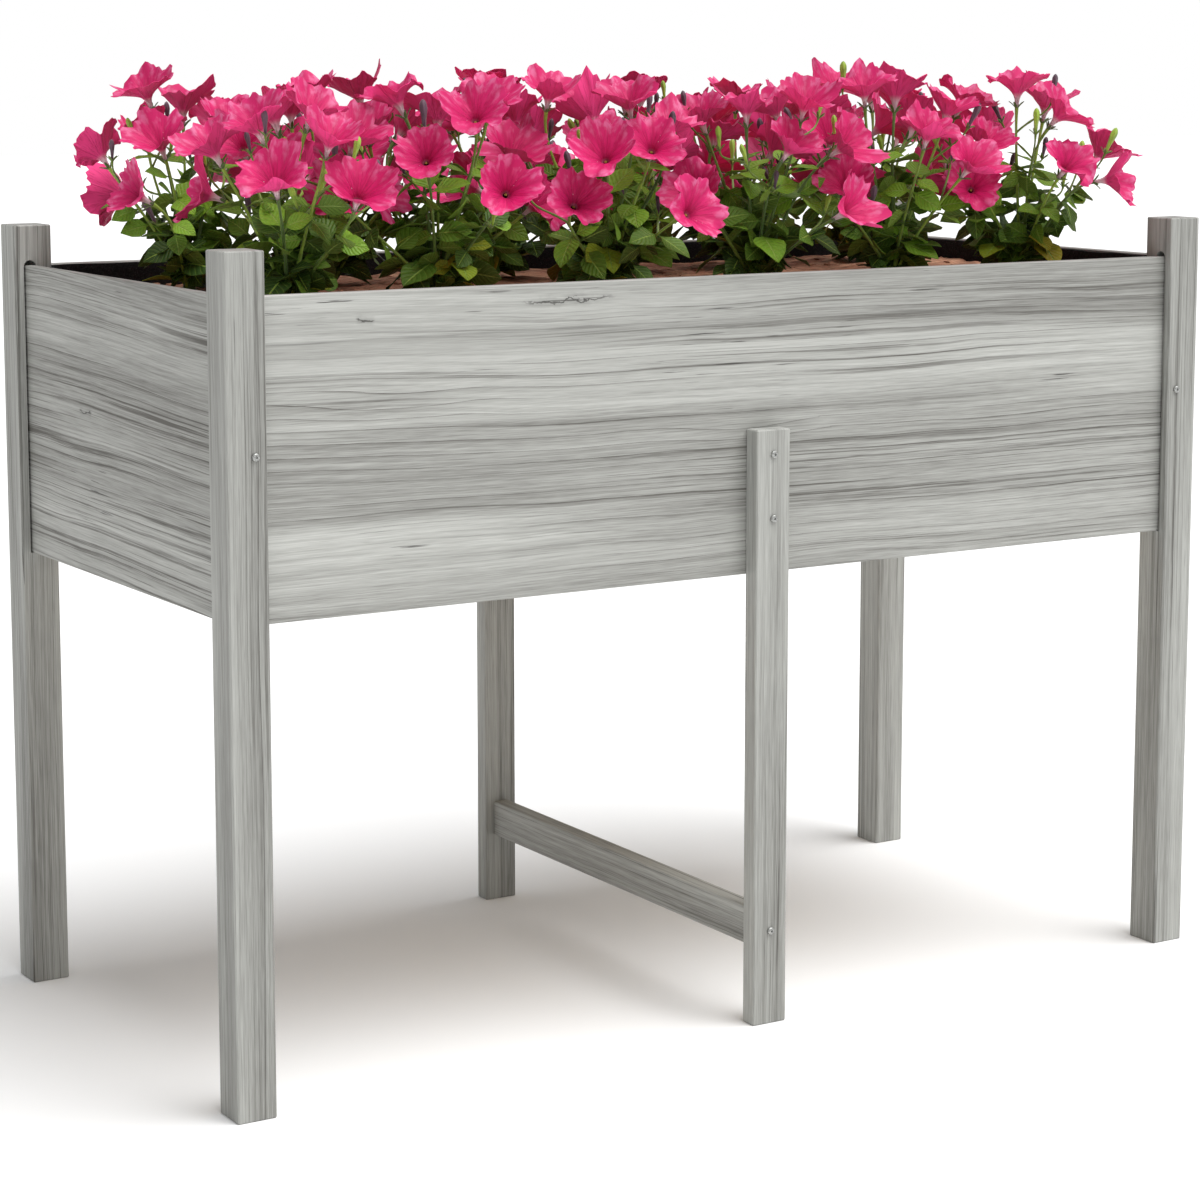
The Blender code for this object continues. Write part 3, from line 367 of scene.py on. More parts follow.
class Wiring:
    """Adds and links nodes in the shader tree that it names."""

    name: str

    def tree(self) -> bpy.types.NodeTree:
        """The shader tree."""
        raise NotImplementedError

    def feed(self, socket: Socket, value: object) -> None:
        """Link another node's socket to an input, or set the input to a plain value.

        Args:
            socket: The input.
            value: The socket or plain value.
        """
        if isinstance(value, Socket):
            self.tree().links.new(value, socket)
        else:
            socket.default_value = value

    def node(self, kind: str, values: Values | None = None, **settings: object) -> bpy.types.Node:
        """Add a node.

        Args:
            kind: The node's type.
            values: Plain values or sockets for its inputs, by name.
            settings: Its own properties.

        Returns:
            The new node.
        """
        made = self.tree().nodes.new(kind)
        for name, value in settings.items():
            setattr(made, name, value)
        for name, value in (values or {}).items():
            self.feed(made.inputs[name], value)
        return made

    def place(self) -> Socket:
        """Object coordinates."""
        return self.node("ShaderNodeTexCoord").outputs["Object"]

    def own_map(self) -> Socket:
        """The piece's own map."""
        return self.node("ShaderNodeTexCoord").outputs["UV"]

    def tint(self) -> Socket:
        """The tint that the piece's vertices carry."""
        return self.node("ShaderNodeAttribute", attribute_name="tint").outputs["Fac"]

    def maths(self, operation: str, *terms: object, clamp: bool = False) -> Socket:
        """A sum worked out by a Math node.

        Args:
            operation: The node's operation.
            terms: One to three numbers or sockets.
            clamp: Whether the result is kept from 0 to 1.

        Returns:
            The result's socket.
        """
        made = self.node("ShaderNodeMath", operation=operation, use_clamp=clamp)
        for socket, term in zip(made.inputs, terms):
            self.feed(socket, term)
        return made.outputs[0]

    def times(self, first: object, second: object) -> Socket:
        """Two values multiplied."""
        return self.maths("MULTIPLY", first, second)

    def added(self, value: object, share: object, extra: object, clamp: bool = False) -> Socket:
        """A value with a share of an extra one added."""
        return self.maths("MULTIPLY_ADD", extra, share, value, clamp=clamp)

    def apart(self, first: object, second: object) -> Socket:
        """How far two values are apart."""
        return self.maths("ABSOLUTE", self.maths("SUBTRACT", first, second))

    def larger(self, first: object, second: object) -> Socket:
        """The larger of two values."""
        return self.maths("MAXIMUM", first, second)

    def stretched(self, vector: Socket, scale: Triple, turn: Triple = (0.0, 0.0, 0.0),
                  shift: Triple = (0.0, 0.0, 0.0)) -> Socket:
        """Coordinates scaled, turned by radians about each axis, and shifted."""
        values = {"Vector": vector, "Scale": scale, "Rotation": turn, "Location": shift}
        return self.node("ShaderNodeMapping", values).outputs[0]

    def noise(self, vector: Socket, layer: Layer) -> Socket:
        """A layer of noise's value.

        Args:
            vector: Where it is read.
            layer: The layer.

        Returns:
            The value's socket.
        """
        values = {"Vector": self.stretched(vector, layer.scale, shift=layer.shift), "Scale": 1.0,
                  "Detail": layer.detail, "Roughness": layer.rough, "Distortion": layer.warp}
        return self.node("ShaderNodeTexNoise", values).outputs[0]

    def cells(self, vector: Socket, scale: Triple, feature: str = "F1") -> bpy.types.Node:
        """A Voronoi texture of one feature."""
        values = {"Vector": self.stretched(vector, scale), "Scale": 1.0}
        return self.node("ShaderNodeTexVoronoi", values, feature=feature)

    def between(self, value: Socket, low: float, high: float, bottom: float = 0.0,
                top: float = 1.0) -> Socket:
        """A value eased from low and high to bottom and top."""
        values = {"Value": value, "From Min": low, "From Max": high, "To Min": bottom, "To Max": top}
        return self.node("ShaderNodeMapRange", values, interpolation_type="SMOOTHSTEP").outputs[0]

    def blend(self, share: object, first: object, second: object) -> Socket:
        """Two colours mixed.

        Args:
            share: Share of the second, as a number or socket.
            first: Colour or socket.
            second: Colour or socket.

        Returns:
            The mixed colour's socket.
        """
        made = self.node("ShaderNodeMix", data_type="RGBA")
        for index, value in ((0, share), (6, first), (7, second)):
            self.feed(made.inputs[index], value)
        return made.outputs[2]

    def parts(self, vector: Socket) -> tuple[Socket, Socket, Socket]:
        """The three parts of coordinates or of a colour."""
        return tuple(self.node("ShaderNodeSeparateXYZ", {"Vector": vector}).outputs)

    def vector(self, x: object, y: object, z: object) -> Socket:
        """Coordinates put together from three parts."""
        return self.node("ShaderNodeCombineXYZ", {"X": x, "Y": y, "Z": z}).outputs[0]

    def effect(self, shared: "Effect", values: Values) -> bpy.types.NodeOutputs:
        """An effect's outputs, placed with input values or sockets of their own."""
        return self.node("ShaderNodeGroup", values, node_tree=shared.group()).outputs


class Effect(Wiring):
    """A shader node group that several materials share: it is built once and placed with their own values."""

    inputs: tuple[tuple[str, str], ...] = (("Vector", "Vector"),)
    outputs: tuple[tuple[str, str], ...] = ()

    def tree(self) -> bpy.types.NodeTree:
        """The group's own tree."""
        return bpy.data.node_groups[self.name]

    def wire(self, given: dict[str, Socket]) -> dict[str, Socket]:
        """Wire the group's inside, from its inputs to what feeds its outputs, each by name."""
        raise NotImplementedError

    def group(self) -> bpy.types.NodeTree:
        """The group, wired at its first use.

        Returns:
            Its tree.
        """
        if self.name not in bpy.data.node_groups:
            face = bpy.data.node_groups.new(self.name, "ShaderNodeTree").interface
            for side, sockets in (("INPUT", self.inputs), ("OUTPUT", self.outputs)):
                for name, kind in sockets:
                    face.new_socket(name=name, in_out=side, socket_type=f"NodeSocket{kind}")
            entry = self.node("NodeGroupInput").outputs
            self.node("NodeGroupOutput", self.wire({name: entry[name] for name, _ in self.inputs}))
        return self.tree()


class WoodGrain(Effect):
    """Long wavy growth lines, streaks, fibres, cracks and knots, along the vector's X.

    The coarse layers bend the growth lines. The hatching and the streaks are read along the bent lines, so
    that all of the grain bends with them.
    """

    name = "wood grain"
    inputs = (("Vector", "Vector"), ("Light", "Color"), ("Dark", "Color"), ("Line Spacing", "Float"),
              ("Wander", "Float"), ("Lines", "Float"), ("Cracks", "Float"), ("Split", "Float"))
    outputs = (("Color", "Color"), ("Height", "Float"), ("Roughness", "Float"))
    drift = Layer((1.3, 5.0, 5.0))
    jog = Layer((9.0, 30.0, 30.0), 3.0)
    uneven = Layer((0.5, 34.0, 34.0), 1.0)
    faint = Layer((1.6, 26.0, 26.0), 3.0)
    bundle = Layer((0.8, 12.0, 12.0), shift=(5.3, 2.2, 8.8))
    hatch = Layer((1.7, 3.4, 9.0), 4.0, 0.62)
    tone = Layer((0.8, 15.0, 15.0), 3.0)
    band = Layer((1.1, 46.0, 46.0), 4.0, 0.62)
    streak = Layer((4.0, 5.5, 9.0), 3.0, 0.66, shift=(2.7, 9.1, 4.4))
    fibre = Layer((26.0, 900.0, 900.0), 2.0, 0.6)
    crack = Layer((11.0, 420.0, 420.0), 3.0)
    cracked = Layer((4.0, 14.0, 14.0), 1.0, shift=(3.1, 7.7, 1.9))
    knots = (2.4, 13.0, 13.0)
    black = (0.03, 0.027, 0.024, 1.0)

    def wire(self, given: dict[str, Socket]) -> dict[str, Socket]:
        """Wire growth lines round knots over tones, streaks and fibres.

        Args:
            given: Its inputs.

        Returns:
            Colour, height and roughness.
        """
        place = given["Vector"]
        along, across, up = self.parts(place)
        count = self.bent(given, across, up)
        flow = self.vector(along, count, across)
        knot = self.knot(place)
        line = self.line(given, count, knot, flow)
        fibre = self.noise(place, self.fibre)
        value = self.added(0.51, 0.25, self.between(self.noise(place, self.tone), 0.38, 0.62))
        for layer, weight in ((self.noise(place, self.band), 0.85), (self.noise(flow, self.streak), 0.75),
                              (fibre, 0.65)):
            value = self.added(value, weight, self.maths("SUBTRACT", layer, 0.5))
        value = self.added(value, -0.66, line)
        value = self.added(value, -0.07, knot, clamp=True)
        crack = self.open_cracks(given)
        stained = self.blend(value, given["Dark"], given["Light"])
        return {
            "Color": self.blend(self.times(crack, 0.85), stained, self.black),
            "Height": self.maths("SUBTRACT", self.added(value, 0.35, fibre), crack),
            "Roughness": self.between(value, 0.0, 1.0, 0.72, 0.56),
        }

    def bent(self, given: dict[str, Socket], across: Socket, up: Socket) -> Socket:
        """How many growth lines lie below a place, as the grain wanders.

        Args:
            given: Its inputs.
            across: The vector's Y.
            up: The vector's Z.

        Returns:
            The count, which is whole at each line.
        """
        place = given["Vector"]
        bend = self.added(self.noise(place, self.drift), 0.07, self.noise(place, self.jog))
        count = self.maths("DIVIDE", self.added(up, 0.7, across), given["Line Spacing"])
        count = self.added(count, 0.8, self.noise(place, self.uneven))
        return self.added(count, given["Wander"], bend)

    def knot(self, place: Socket) -> Socket:
        """Swellings that the growth lines run round, in a few of the cells.

        Args:
            place: Where they are read.

        Returns:
            Their mask.
        """
        cell = self.cells(place, self.knots).outputs
        rare = self.between(self.parts(cell["Color"])[0], 0.62, 0.66)
        return self.times(self.between(cell["Distance"], 0.0, 0.34, 1.0, 0.0), rare)

    def line(self, given: dict[str, Socket], count: Socket, knot: Socket, flow: Socket) -> Socket:
        """The growth lines, shaded on one side, with bundles of fine hatching between them.

        Args:
            given: Its inputs.
            count: The count of growth lines.
            knot: The knots' mask.
            flow: Coordinates along the bent grain.

        Returns:
            How dark the lines are.
        """
        place = given["Vector"]
        phase = self.maths("FRACT", self.added(count, 0.8, knot))
        crest, shade = (self.maths("POWER", phase, sharpness) for sharpness in (30.0, 3.0))
        faint = self.between(self.noise(place, self.faint), 0.40, 0.66)
        hatch = self.between(self.noise(flow, self.hatch), 0.52, 0.60)
        bundle = self.between(self.noise(place, self.bundle), 0.42, 0.58, 0.25, 1.0)
        line = self.times(self.added(crest, 0.24, shade), faint)
        return self.times(self.added(line, 0.56, self.times(hatch, bundle)), given["Lines"])

    def open_cracks(self, given: dict[str, Socket]) -> Socket:
        """Short cracks in a few patches, and the splits that are given.

        Args:
            given: Its inputs.

        Returns:
            Their mask.
        """
        crack = self.between(self.noise(given["Vector"], self.crack), 0.64, 0.70)
        where = self.between(self.noise(given["Vector"], self.cracked), 0.60, 0.68)
        return self.larger(self.times(self.times(crack, where), given["Cracks"]), given["Split"])


class PetalMarks(Effect):
    """Marks of a petal by the flower's own map: U goes round the flower and V from its base to its margin."""

    name = "petal marks"
    outputs = (("Rib", "Float"), ("Cleft", "Float"), ("Veins", "Float"), ("Along", "Float"))
    lobes = 5.0
    fine = Layer((95.0, 3.0, 1.0), 3.0, 0.6, 0.4)

    def wire(self, given: dict[str, Socket]) -> dict[str, Socket]:
        """Wire the masks of the five ribs, the five clefts and the fine veins.

        Args:
            given: Its inputs.

        Returns:
            The masks and the share from base to margin.
        """
        around, along, _ = self.parts(given["Vector"])
        off_rib = self.apart(self.maths("FRACT", self.added(0.5, self.lobes, around)), 0.5)
        return {
            "Rib": self.between(off_rib, 0.0, 0.045, 1.0, 0.0),
            "Cleft": self.between(off_rib, 0.36, 0.5),
            "Veins": self.between(self.noise(given["Vector"], self.fine), 0.48, 0.66),
            "Along": along,
        }


class LeafVeins(Effect):
    """Midrib and side veins of a leaf by its own map: U goes across the blade and V from root to tip."""

    name = "leaf veins"
    outputs = (("Midrib", "Float"), ("Side Veins", "Float"), ("Quilt", "Float"), ("Mottle", "Float"))
    side_veins = 8.0
    sweep = -4.2
    mottle = Layer((9.0, 14.0, 1.0), 4.0, 0.6)

    def wire(self, given: dict[str, Socket]) -> dict[str, Socket]:
        """Wire the midrib, the side veins that sweep forwards, and the blade between them.

        Args:
            given: Its inputs.

        Returns:
            The masks.
        """
        across, along, _ = self.parts(given["Vector"])
        off = self.apart(across, 0.5)
        swept = self.added(self.times(along, self.side_veins), self.sweep, off)
        step = self.apart(self.maths("FRACT", swept), 0.5)
        return {
            "Midrib": self.between(off, 0.012, 0.045, 1.0, 0.0),
            "Side Veins": self.between(step, 0.40, 0.5),
            "Quilt": self.maths("SUBTRACT", 0.5, step),
            "Mottle": self.noise(given["Vector"], self.mottle),
        }


# Finishes

@dataclass
class Surface:
    """What a finish feeds its shader.

    Attributes:
        colour: Base colour.
        rough: Roughness.
        height: Height of the bump, about 0 to 1, or none.
        depth: How high 1 is, in metres.
        strength: The bump's strength.
        plain: Plain values of the shader's other inputs, by name.
    """

    colour: object
    rough: object
    height: Socket | None = None
    depth: float = 0.0
    strength: float = 1.0
    plain: dict[str, float] = field(default_factory=dict)


class Finish(Wiring):
    """A material that is wired at its first use."""

    def tree(self) -> bpy.types.NodeTree:
        """The material's own tree."""
        return bpy.data.materials[self.name].node_tree

    def surface(self) -> Surface:
        """Wire what the finish feeds its shader."""
        raise NotImplementedError

    def material(self) -> bpy.types.Material:
        """The finish as a material.

        Returns:
            The material.
        """
        if self.name not in bpy.data.materials:
            bpy.data.materials.new(self.name).use_nodes = True
            self.tree().nodes.clear()
            seen = self.surface()
            values = {"Base Color": seen.colour, "Roughness": seen.rough, **seen.plain}
            if seen.height is not None:
                relief = {"Height": seen.height, "Distance": seen.depth, "Strength": seen.strength}
                values["Normal"] = self.node("ShaderNodeBump", relief).outputs[0]
            shader = self.node("ShaderNodeBsdfPrincipled", values)
            self.node("ShaderNodeOutputMaterial", {"Surface": shader.outputs[0]})
        return bpy.data.materials[self.name]


class Grain(Enum):
    """Which way a wooden piece's grain runs."""

    LONG = "XYZ"
    DEEP = "YXZ"
    UP = "ZXY"


@dataclass(frozen=True)
class StainedWood(Finish):
    """Wood with its grain along one axis.

    Attributes:
        name: The material's name.
        grain: Which way the grain runs.
        light: Colour of the light wood.
        dark: Colour of the dark streaks.
        spacing: Distance between growth lines.
        wander: How many lines the grain wanders.
        lines: How dark the growth lines are.
        cracks: How many cracks show.
        slant: How far the grain leans off its axis, in degrees.
        lighter_above: Height above which the wood is a lighter strip, or none.
        splits: Place along the piece, height and half length of each open split.
        waver: How the strip's edge rises and falls.
        rise: How far it does.
        shaded: Height of the darker wood under the strip.
        patchy: Where the strip's edge shows as a dark seam.
        ragged: How the splits' edges run.
    """

    name: str
    grain: Grain
    light: Colour = srgb(197, 198, 193)
    dark: Colour = srgb(94, 92, 87)
    spacing: float = 0.0125
    wander: float = 3.6
    lines: float = 1.0
    cracks: float = 1.0
    slant: float = 0.0
    lighter_above: float | None = None
    splits: tuple[Triple, ...] = ()
    waver: Layer = Layer((3.0, 1.0, 1.0), 3.0)
    rise: float = 0.012
    shaded: float = 0.055
    patchy: Layer = Layer((7.0, 1.0, 1.0), shift=(4.6, 0.0, 0.0))
    ragged: Layer = Layer((38.0, 1.0, 60.0), 4.0, 0.6)

    def surface(self) -> Surface:
        """Wire the grain along the piece.

        Returns:
            The surface.
        """
        place = self.place()
        by_name = dict(zip("XYZ", self.parts(place)))
        along, across, up = (by_name[axis] for axis in self.grain.value)
        lean = (0.0, math.radians(self.slant), 0.0)
        light = self.light
        split = self.open_splits(along, by_name["Z"]) if self.splits else 0.0
        if self.lighter_above is not None:
            light, seam = self.strip(place, by_name["Z"])
            split = self.larger(split, seam)
        wood = self.effect(WoodGrain(), {
            "Vector": self.stretched(self.vector(along, across, up), (1.0, 1.0, 1.0), lean),
            "Light": light, "Dark": self.dark, "Line Spacing": self.spacing, "Wander": self.wander,
            "Lines": self.lines, "Cracks": self.cracks, "Split": split})
        return Surface(wood["Color"], wood["Roughness"], wood["Height"], 0.00025, 0.6)

    def strip(self, place: Socket, up: Socket) -> tuple[Socket, Socket]:
        """Lighten the wood above the strip's wavy edge and shade it below.

        Args:
            place: Object coordinates.
            up: Height.

        Returns:
            The light wood's colour, and the dark seam along the strip's edge.
        """
        edge = self.added(up, self.rise, self.noise(place, self.waver))
        start = self.lighter_above
        body = self.blend(self.between(edge, start - self.shaded, start, 0.0, 0.32), self.light, self.dark)
        light = self.blend(self.between(edge, start, start + 0.003, 0.0, 0.65), body, self.light)
        seam = self.times(self.between(self.apart(edge, start), 0.0, 0.0018, 0.42, 0.0),
                          self.between(self.noise(place, self.patchy), 0.42, 0.60))
        return light, seam

    def open_splits(self, along: Socket, up: Socket) -> Socket:
        """Mask the ragged splits that lie at places of their own.

        Args:
            along: Place along the piece.
            up: Height.

        Returns:
            The mask, with a soft grey edge.
        """
        ragged = self.maths("SUBTRACT", self.noise(self.vector(along, 0.0, up), self.ragged), 0.5)
        mask: Socket | float = 0.0
        for place, height, half in self.splits:
            end = self.between(self.apart(along, place), 0.55 * half, half, 1.0, 0.0)
            apart = self.apart(up, self.added(height, 0.022, ragged))
            core = self.between(apart, 0.0003, 0.0015, 1.0, 0.0)
            halo = self.between(apart, 0.0, 0.0080, 0.24, 0.0)
            mask = self.larger(mask, self.times(self.larger(core, halo), end))
        return mask


@dataclass(frozen=True)
class Felt(Finish):
    """Black needle felt with pale fibres."""

    name: str = "needle_felt"
    base: Colour = srgb(20, 19, 20)
    fibre: Colour = srgb(96, 94, 95)
    mat: Layer = Layer((420.0, 420.0, 420.0), 4.0, 0.7, 1.2)
    tuft: Layer = Layer((60.0, 60.0, 60.0), 3.0)
    speck: Layer = Layer((900.0, 900.0, 900.0), 2.0, 0.6, 2.5)

    def surface(self) -> Surface:
        """Wire matted fibres over black.

        Returns:
            The surface.
        """
        place = self.place()
        mat, tuft, speck = (self.noise(place, layer) for layer in (self.mat, self.tuft, self.speck))
        fibres = self.times(self.between(speck, 0.62, 0.72), self.between(tuft, 0.3, 0.7, 0.25, 1.0))
        share = self.larger(fibres, self.between(mat, 0.45, 0.75, 0.0, 0.22))
        return Surface(self.blend(share, self.base, self.fibre), self.between(mat, 0.3, 0.7, 1.0, 0.86),
                       self.added(mat, 2.0, tuft), 0.0008, plain={"Specular IOR Level": 0.15})


@dataclass(frozen=True)
class Earth(Finish):
    """Reddish bark soil, streaked along the bed and cracked."""

    name: str = "bark_soil"
    light: Colour = srgb(192, 146, 116)
    base: Colour = srgb(152, 106, 80)
    dark: Colour = srgb(88, 60, 46)
    streak: Layer = Layer((11.0, 42.0, 60.0), 7.0, 0.62, 0.6)
    grit: Layer = Layer((420.0, 420.0, 420.0), 5.0, 0.7)
    plates: Triple = (9.0, 60.0, 60.0)

    def surface(self) -> Surface:
        """Wire streaks, grit and cracks.

        Returns:
            The surface.
        """
        place = self.place()
        streak, grit = self.noise(place, self.streak), self.noise(place, self.grit)
        edge = self.cells(place, self.plates, "DISTANCE_TO_EDGE").outputs["Distance"]
        crack = self.times(self.between(edge, 0.0, 0.07, 1.0, 0.0),
                           self.between(streak, 0.42, 0.6, 1.0, 0.15))
        tone = self.blend(self.between(streak, 0.36, 0.64), self.base, self.light)
        speckled = self.blend(self.between(grit, 0.5, 0.72, 0.0, 0.55), tone, self.dark)
        cracked = self.blend(self.times(crack, 0.35), speckled, self.dark)
        height = self.added(self.maths("SUBTRACT", streak, crack), 0.5, grit)
        return Surface(cracked, self.between(grit, 0.3, 0.7, 0.98, 0.82), height, 0.0022)


@dataclass(frozen=True)
class Steel(Finish):
    """Zinc-plated steel, slightly clouded."""

    name: str = "plated_steel"
    base: Colour = srgb(190, 191, 188)
    dull: Colour = srgb(142, 143, 141)
    cloud: Layer = Layer((700.0, 700.0, 700.0), 4.0, 0.6)

    def surface(self) -> Surface:
        """Wire plating with cloudy patches.

        Returns:
            The surface.
        """
        cloud = self.noise(self.place(), self.cloud)
        clouded = self.blend(self.between(cloud, 0.35, 0.7), self.base, self.dull)
        return Surface(clouded, self.between(cloud, 0.3, 0.7, 0.42, 0.60), cloud, 0.00004,
                       plain={"Metallic": 1.0})


@dataclass(frozen=True)
class PetalFace(Finish):
    """The upper side of a petunia's petals: hot pink, paler at the margin, veined, with a dark throat, crimson
    painted shade in the clefts between the lobes and deep in the funnel, and white specks that are painted
    glints of dew.
    """

    name: str = "petal_face"
    pink: Colour = srgb(208, 28, 104)
    margin: Colour = srgb(232, 138, 182)
    crimson: Colour = srgb(154, 14, 64)
    ring: Colour = srgb(214, 150, 176)
    throat: Colour = srgb(70, 22, 40)
    # Near-white colour of the dew specks, a painted glint.
    dew_glint: Colour = srgb(250, 236, 242)
    patch: Layer = Layer((26.0, 4.0, 1.0), 3.0)
    drops: Triple = (23.0, 7.0, 1.0)

    def surface(self) -> Surface:
        """Wire the petal's colours from its throat to its margin, with painted shade and painted dew glints.

        Returns:
            The surface.
        """
        own = self.own_map()
        marks = self.effect(PetalMarks(), {"Vector": own})
        along, patch = marks["Along"], self.noise(own, self.patch)
        pale = self.times(self.between(along, 0.52, 1.0), self.between(patch, 0.44, 0.66, 0.04, 0.66))
        limb = self.blend(pale, self.pink, self.margin)
        vein = self.times(self.larger(marks["Rib"], marks["Veins"]),
                          self.between(along, 0.45, 0.97, 1.0, 0.2))
        # Crimson in the clefts is painted shade in the folds between the lobes; the veins' crimson is the
        # petal's own.
        deep = self.larger(self.times(vein, 0.40), self.times(marks["Cleft"], 0.25))
        deep = self.added(deep, 0.22, self.tint())
        # Crimson deepening from halfway along down to the throat is painted shade deep in the funnel.
        deep = self.added(deep, 1.0, self.between(along, 0.20, 0.50, 0.32, 0.0), clamp=True)
        veined_and_shaded = self.blend(deep, limb, self.crimson)
        rim = self.times(self.between(along, 0.16, 0.20), self.between(along, 0.21, 0.27, 1.0, 0.0))
        rimmed = self.blend(self.times(rim, 0.35), veined_and_shaded, self.ring)
        # White specks where dew drops lie are painted glints.
        glinted = self.blend(self.dew_glints(own), rimmed, self.dew_glint)
        colour = self.blend(self.between(along, 0.13, 0.19, 1.0, 0.0), glinted, self.throat)
        height = self.added(patch, -0.5, vein)
        return Surface(colour, self.between(patch, 0.3, 0.7, 0.62, 0.48), height, 0.0006,
                       plain={"Specular IOR Level": 0.25})

    def dew_glints(self, own: Socket) -> Socket:
        """A few white specks: painted glints of dew drops.

        Args:
            own: The petal's own map.

        Returns:
            Their mask.
        """
        cell = self.cells(own, self.drops).outputs
        few = self.between(self.parts(cell["Color"])[1], 0.93, 0.94)
        return self.times(self.between(cell["Distance"], 0.08, 0.13, 0.85, 0.0), few)


@dataclass(frozen=True)
class PetalBack(Finish):
    """The underside of the petals and the outside of the tube, which is pale and streaked. Its pink and its
    streaks are painted brighter than their own colour, as painted light that stands in for light shining
    through the petals.
    """

    name: str = "petal_back"
    # The pink and the streak colour are painted light: brighter than the underside's own colour, standing in
    # for light shining through the petals.
    pink: Colour = srgb(250, 72, 144)
    tube: Colour = srgb(246, 218, 224)
    streak: Colour = srgb(200, 42, 100)

    def surface(self) -> Surface:
        """Wire the tube's streaks into the limb's underside.

        Returns:
            The surface.
        """
        marks = self.effect(PetalMarks(), {"Vector": self.own_map()})
        limb = self.blend(self.between(marks["Along"], 0.16, 0.36), self.tube, self.pink)
        vein = self.larger(marks["Rib"], self.times(marks["Veins"], 0.7))
        deep = self.added(self.times(vein, 0.6), 0.2, self.tint(), clamp=True)
        return Surface(self.blend(deep, limb, self.streak), self.between(vein, 0.0, 1.0, 0.66, 0.52), vein,
                       0.0005, plain={"Specular IOR Level": 0.25})


@dataclass(frozen=True)
class LeafBlade(Finish):
    """One side of a petunia's leaf, from dark to bright green by its tint, and yellow above 1.4."""

    name: str
    dark: Colour
    bright: Colour
    vein: Colour
    yellow: Colour = srgb(178, 160, 38)

    def surface(self) -> Surface:
        """Wire the blade, its veins and its mottling.

        Returns:
            The surface.
        """
        marks = self.effect(LeafVeins(), {"Vector": self.own_map()})
        tint, mottle = self.tint(), marks["Mottle"]
        green = self.blend(self.between(tint, 0.0, 1.0), self.dark, self.bright)
        aged = self.blend(self.between(tint, 1.4, 2.0, 0.0, 0.9), green, self.yellow)
        mottled = self.blend(self.between(mottle, 0.35, 0.7, 0.0, 0.25), aged, self.dark)
        veins = self.larger(marks["Midrib"], self.times(marks["Side Veins"], 0.35))
        height = self.added(self.added(marks["Quilt"], -0.5, marks["Midrib"]), 0.4, mottle)
        return Surface(self.blend(veins, mottled, self.vein), self.between(mottle, 0.3, 0.7, 0.42, 0.6),
                       height, 0.0011, plain={"Specular IOR Level": 0.35})


@dataclass(frozen=True)
class Stalk(Finish):
    """Stems, sepals and buds: downy green by a tint up to 1, and purple-grey above 1.4."""

    name: str = "downy_stalk"
    green: Colour = srgb(74, 104, 40)
    pale: Colour = srgb(156, 188, 60)
    purple: Colour = srgb(96, 66, 84)
    dusky: Colour = srgb(70, 50, 62)
    down: Layer = Layer((1500.0, 1500.0, 1500.0), 3.0, 0.7)
    patch: Layer = Layer((130.0, 130.0, 130.0), 3.0)

    def surface(self) -> Surface:
        """Wire the stalk's colour by its tint, with fine down.

        Returns:
            The surface.
        """
        place, tint = self.place(), self.tint()
        down, patch = self.noise(place, self.down), self.noise(place, self.patch)
        green = self.blend(self.between(tint, 0.0, 1.0), self.green, self.pale)
        mottled = self.blend(self.between(patch, 0.4, 0.75, 0.0, 0.5), green, self.green)
        downy = self.blend(self.between(down, 0.55, 0.75, 0.0, 0.3), mottled, self.pale)
        purple = self.blend(self.between(patch, 0.3, 0.7), self.purple, self.dusky)
        return Surface(self.blend(self.between(tint, 1.4, 2.0), downy, purple),
                       self.between(down, 0.3, 0.7, 0.5, 0.68), down, 0.0003, plain={"Sheen Weight": 0.3})


@dataclass(frozen=True)
class Pollen(Finish):
    """Yellow anthers in the throat."""

    name: str = "pollen"
    base: Colour = srgb(216, 196, 96)
    shade: Colour = srgb(150, 128, 60)
    grain: Layer = Layer((2200.0, 2200.0, 2200.0))

    def surface(self) -> Surface:
        """Wire grainy pollen.

        Returns:
            The surface.
        """
        grain = self.noise(self.place(), self.grain)
        return Surface(self.blend(self.between(grain, 0.4, 0.65), self.base, self.shade),
                       self.between(grain, 0.3, 0.7, 0.9, 0.75), grain, 0.0002)


@dataclass(frozen=True)
class StudioPaper(Finish):
    """The pale paper that the bed stands on."""

    name: str = "studio_paper"
    base: Colour = (0.93, 0.93, 0.93, 1.0)

    def surface(self) -> Surface:
        """The paper's plain colour."""
        return Surface(self.base, 0.9)


def dress(piece: bpy.types.Object, *finishes: Finish) -> None:
    """Give a piece one material slot for each finish."""
    for finish in finishes:
        piece.data.materials.append(finish.material())


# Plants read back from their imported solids

@dataclass(frozen=True)
class FlowerPlace:
    """Where one flower stands.

    Attributes:
        root: Where its stem leaves the crown.
        base: Its calyx.
        axis: The way it faces.
        side: The direction of its first lobe, square to the axis.
        size: Its size beside the model's.
        lobes: Reach and height of each lobe's tip, in metres at size 1.
    """

    root: Vector
    base: Vector
    axis: Vector
    side: Vector
    size: float
    lobes: tuple[Pair, ...]

    def stem_point(self, share: float) -> Vector:
        """The stem's middle line.

        Args:
            share: Share of the way from root to calyx.

        Returns:
            The point.
        """
        rise = self.base - self.root
        first = self.root + Vector((0.30 * rise.x, 0.30 * rise.y, 0.45 * rise.z))
        return cubic(self.root, first, self.base - self.axis * (0.26 * rise.length), self.base, share)


@dataclass(frozen=True)
class LeafPlace:
    """Where one leaf grows: its root, the ways it points and faces, its length and its droop."""

    root: Vector
    along: Vector
    normal: Vector
    length: float
    droop: float


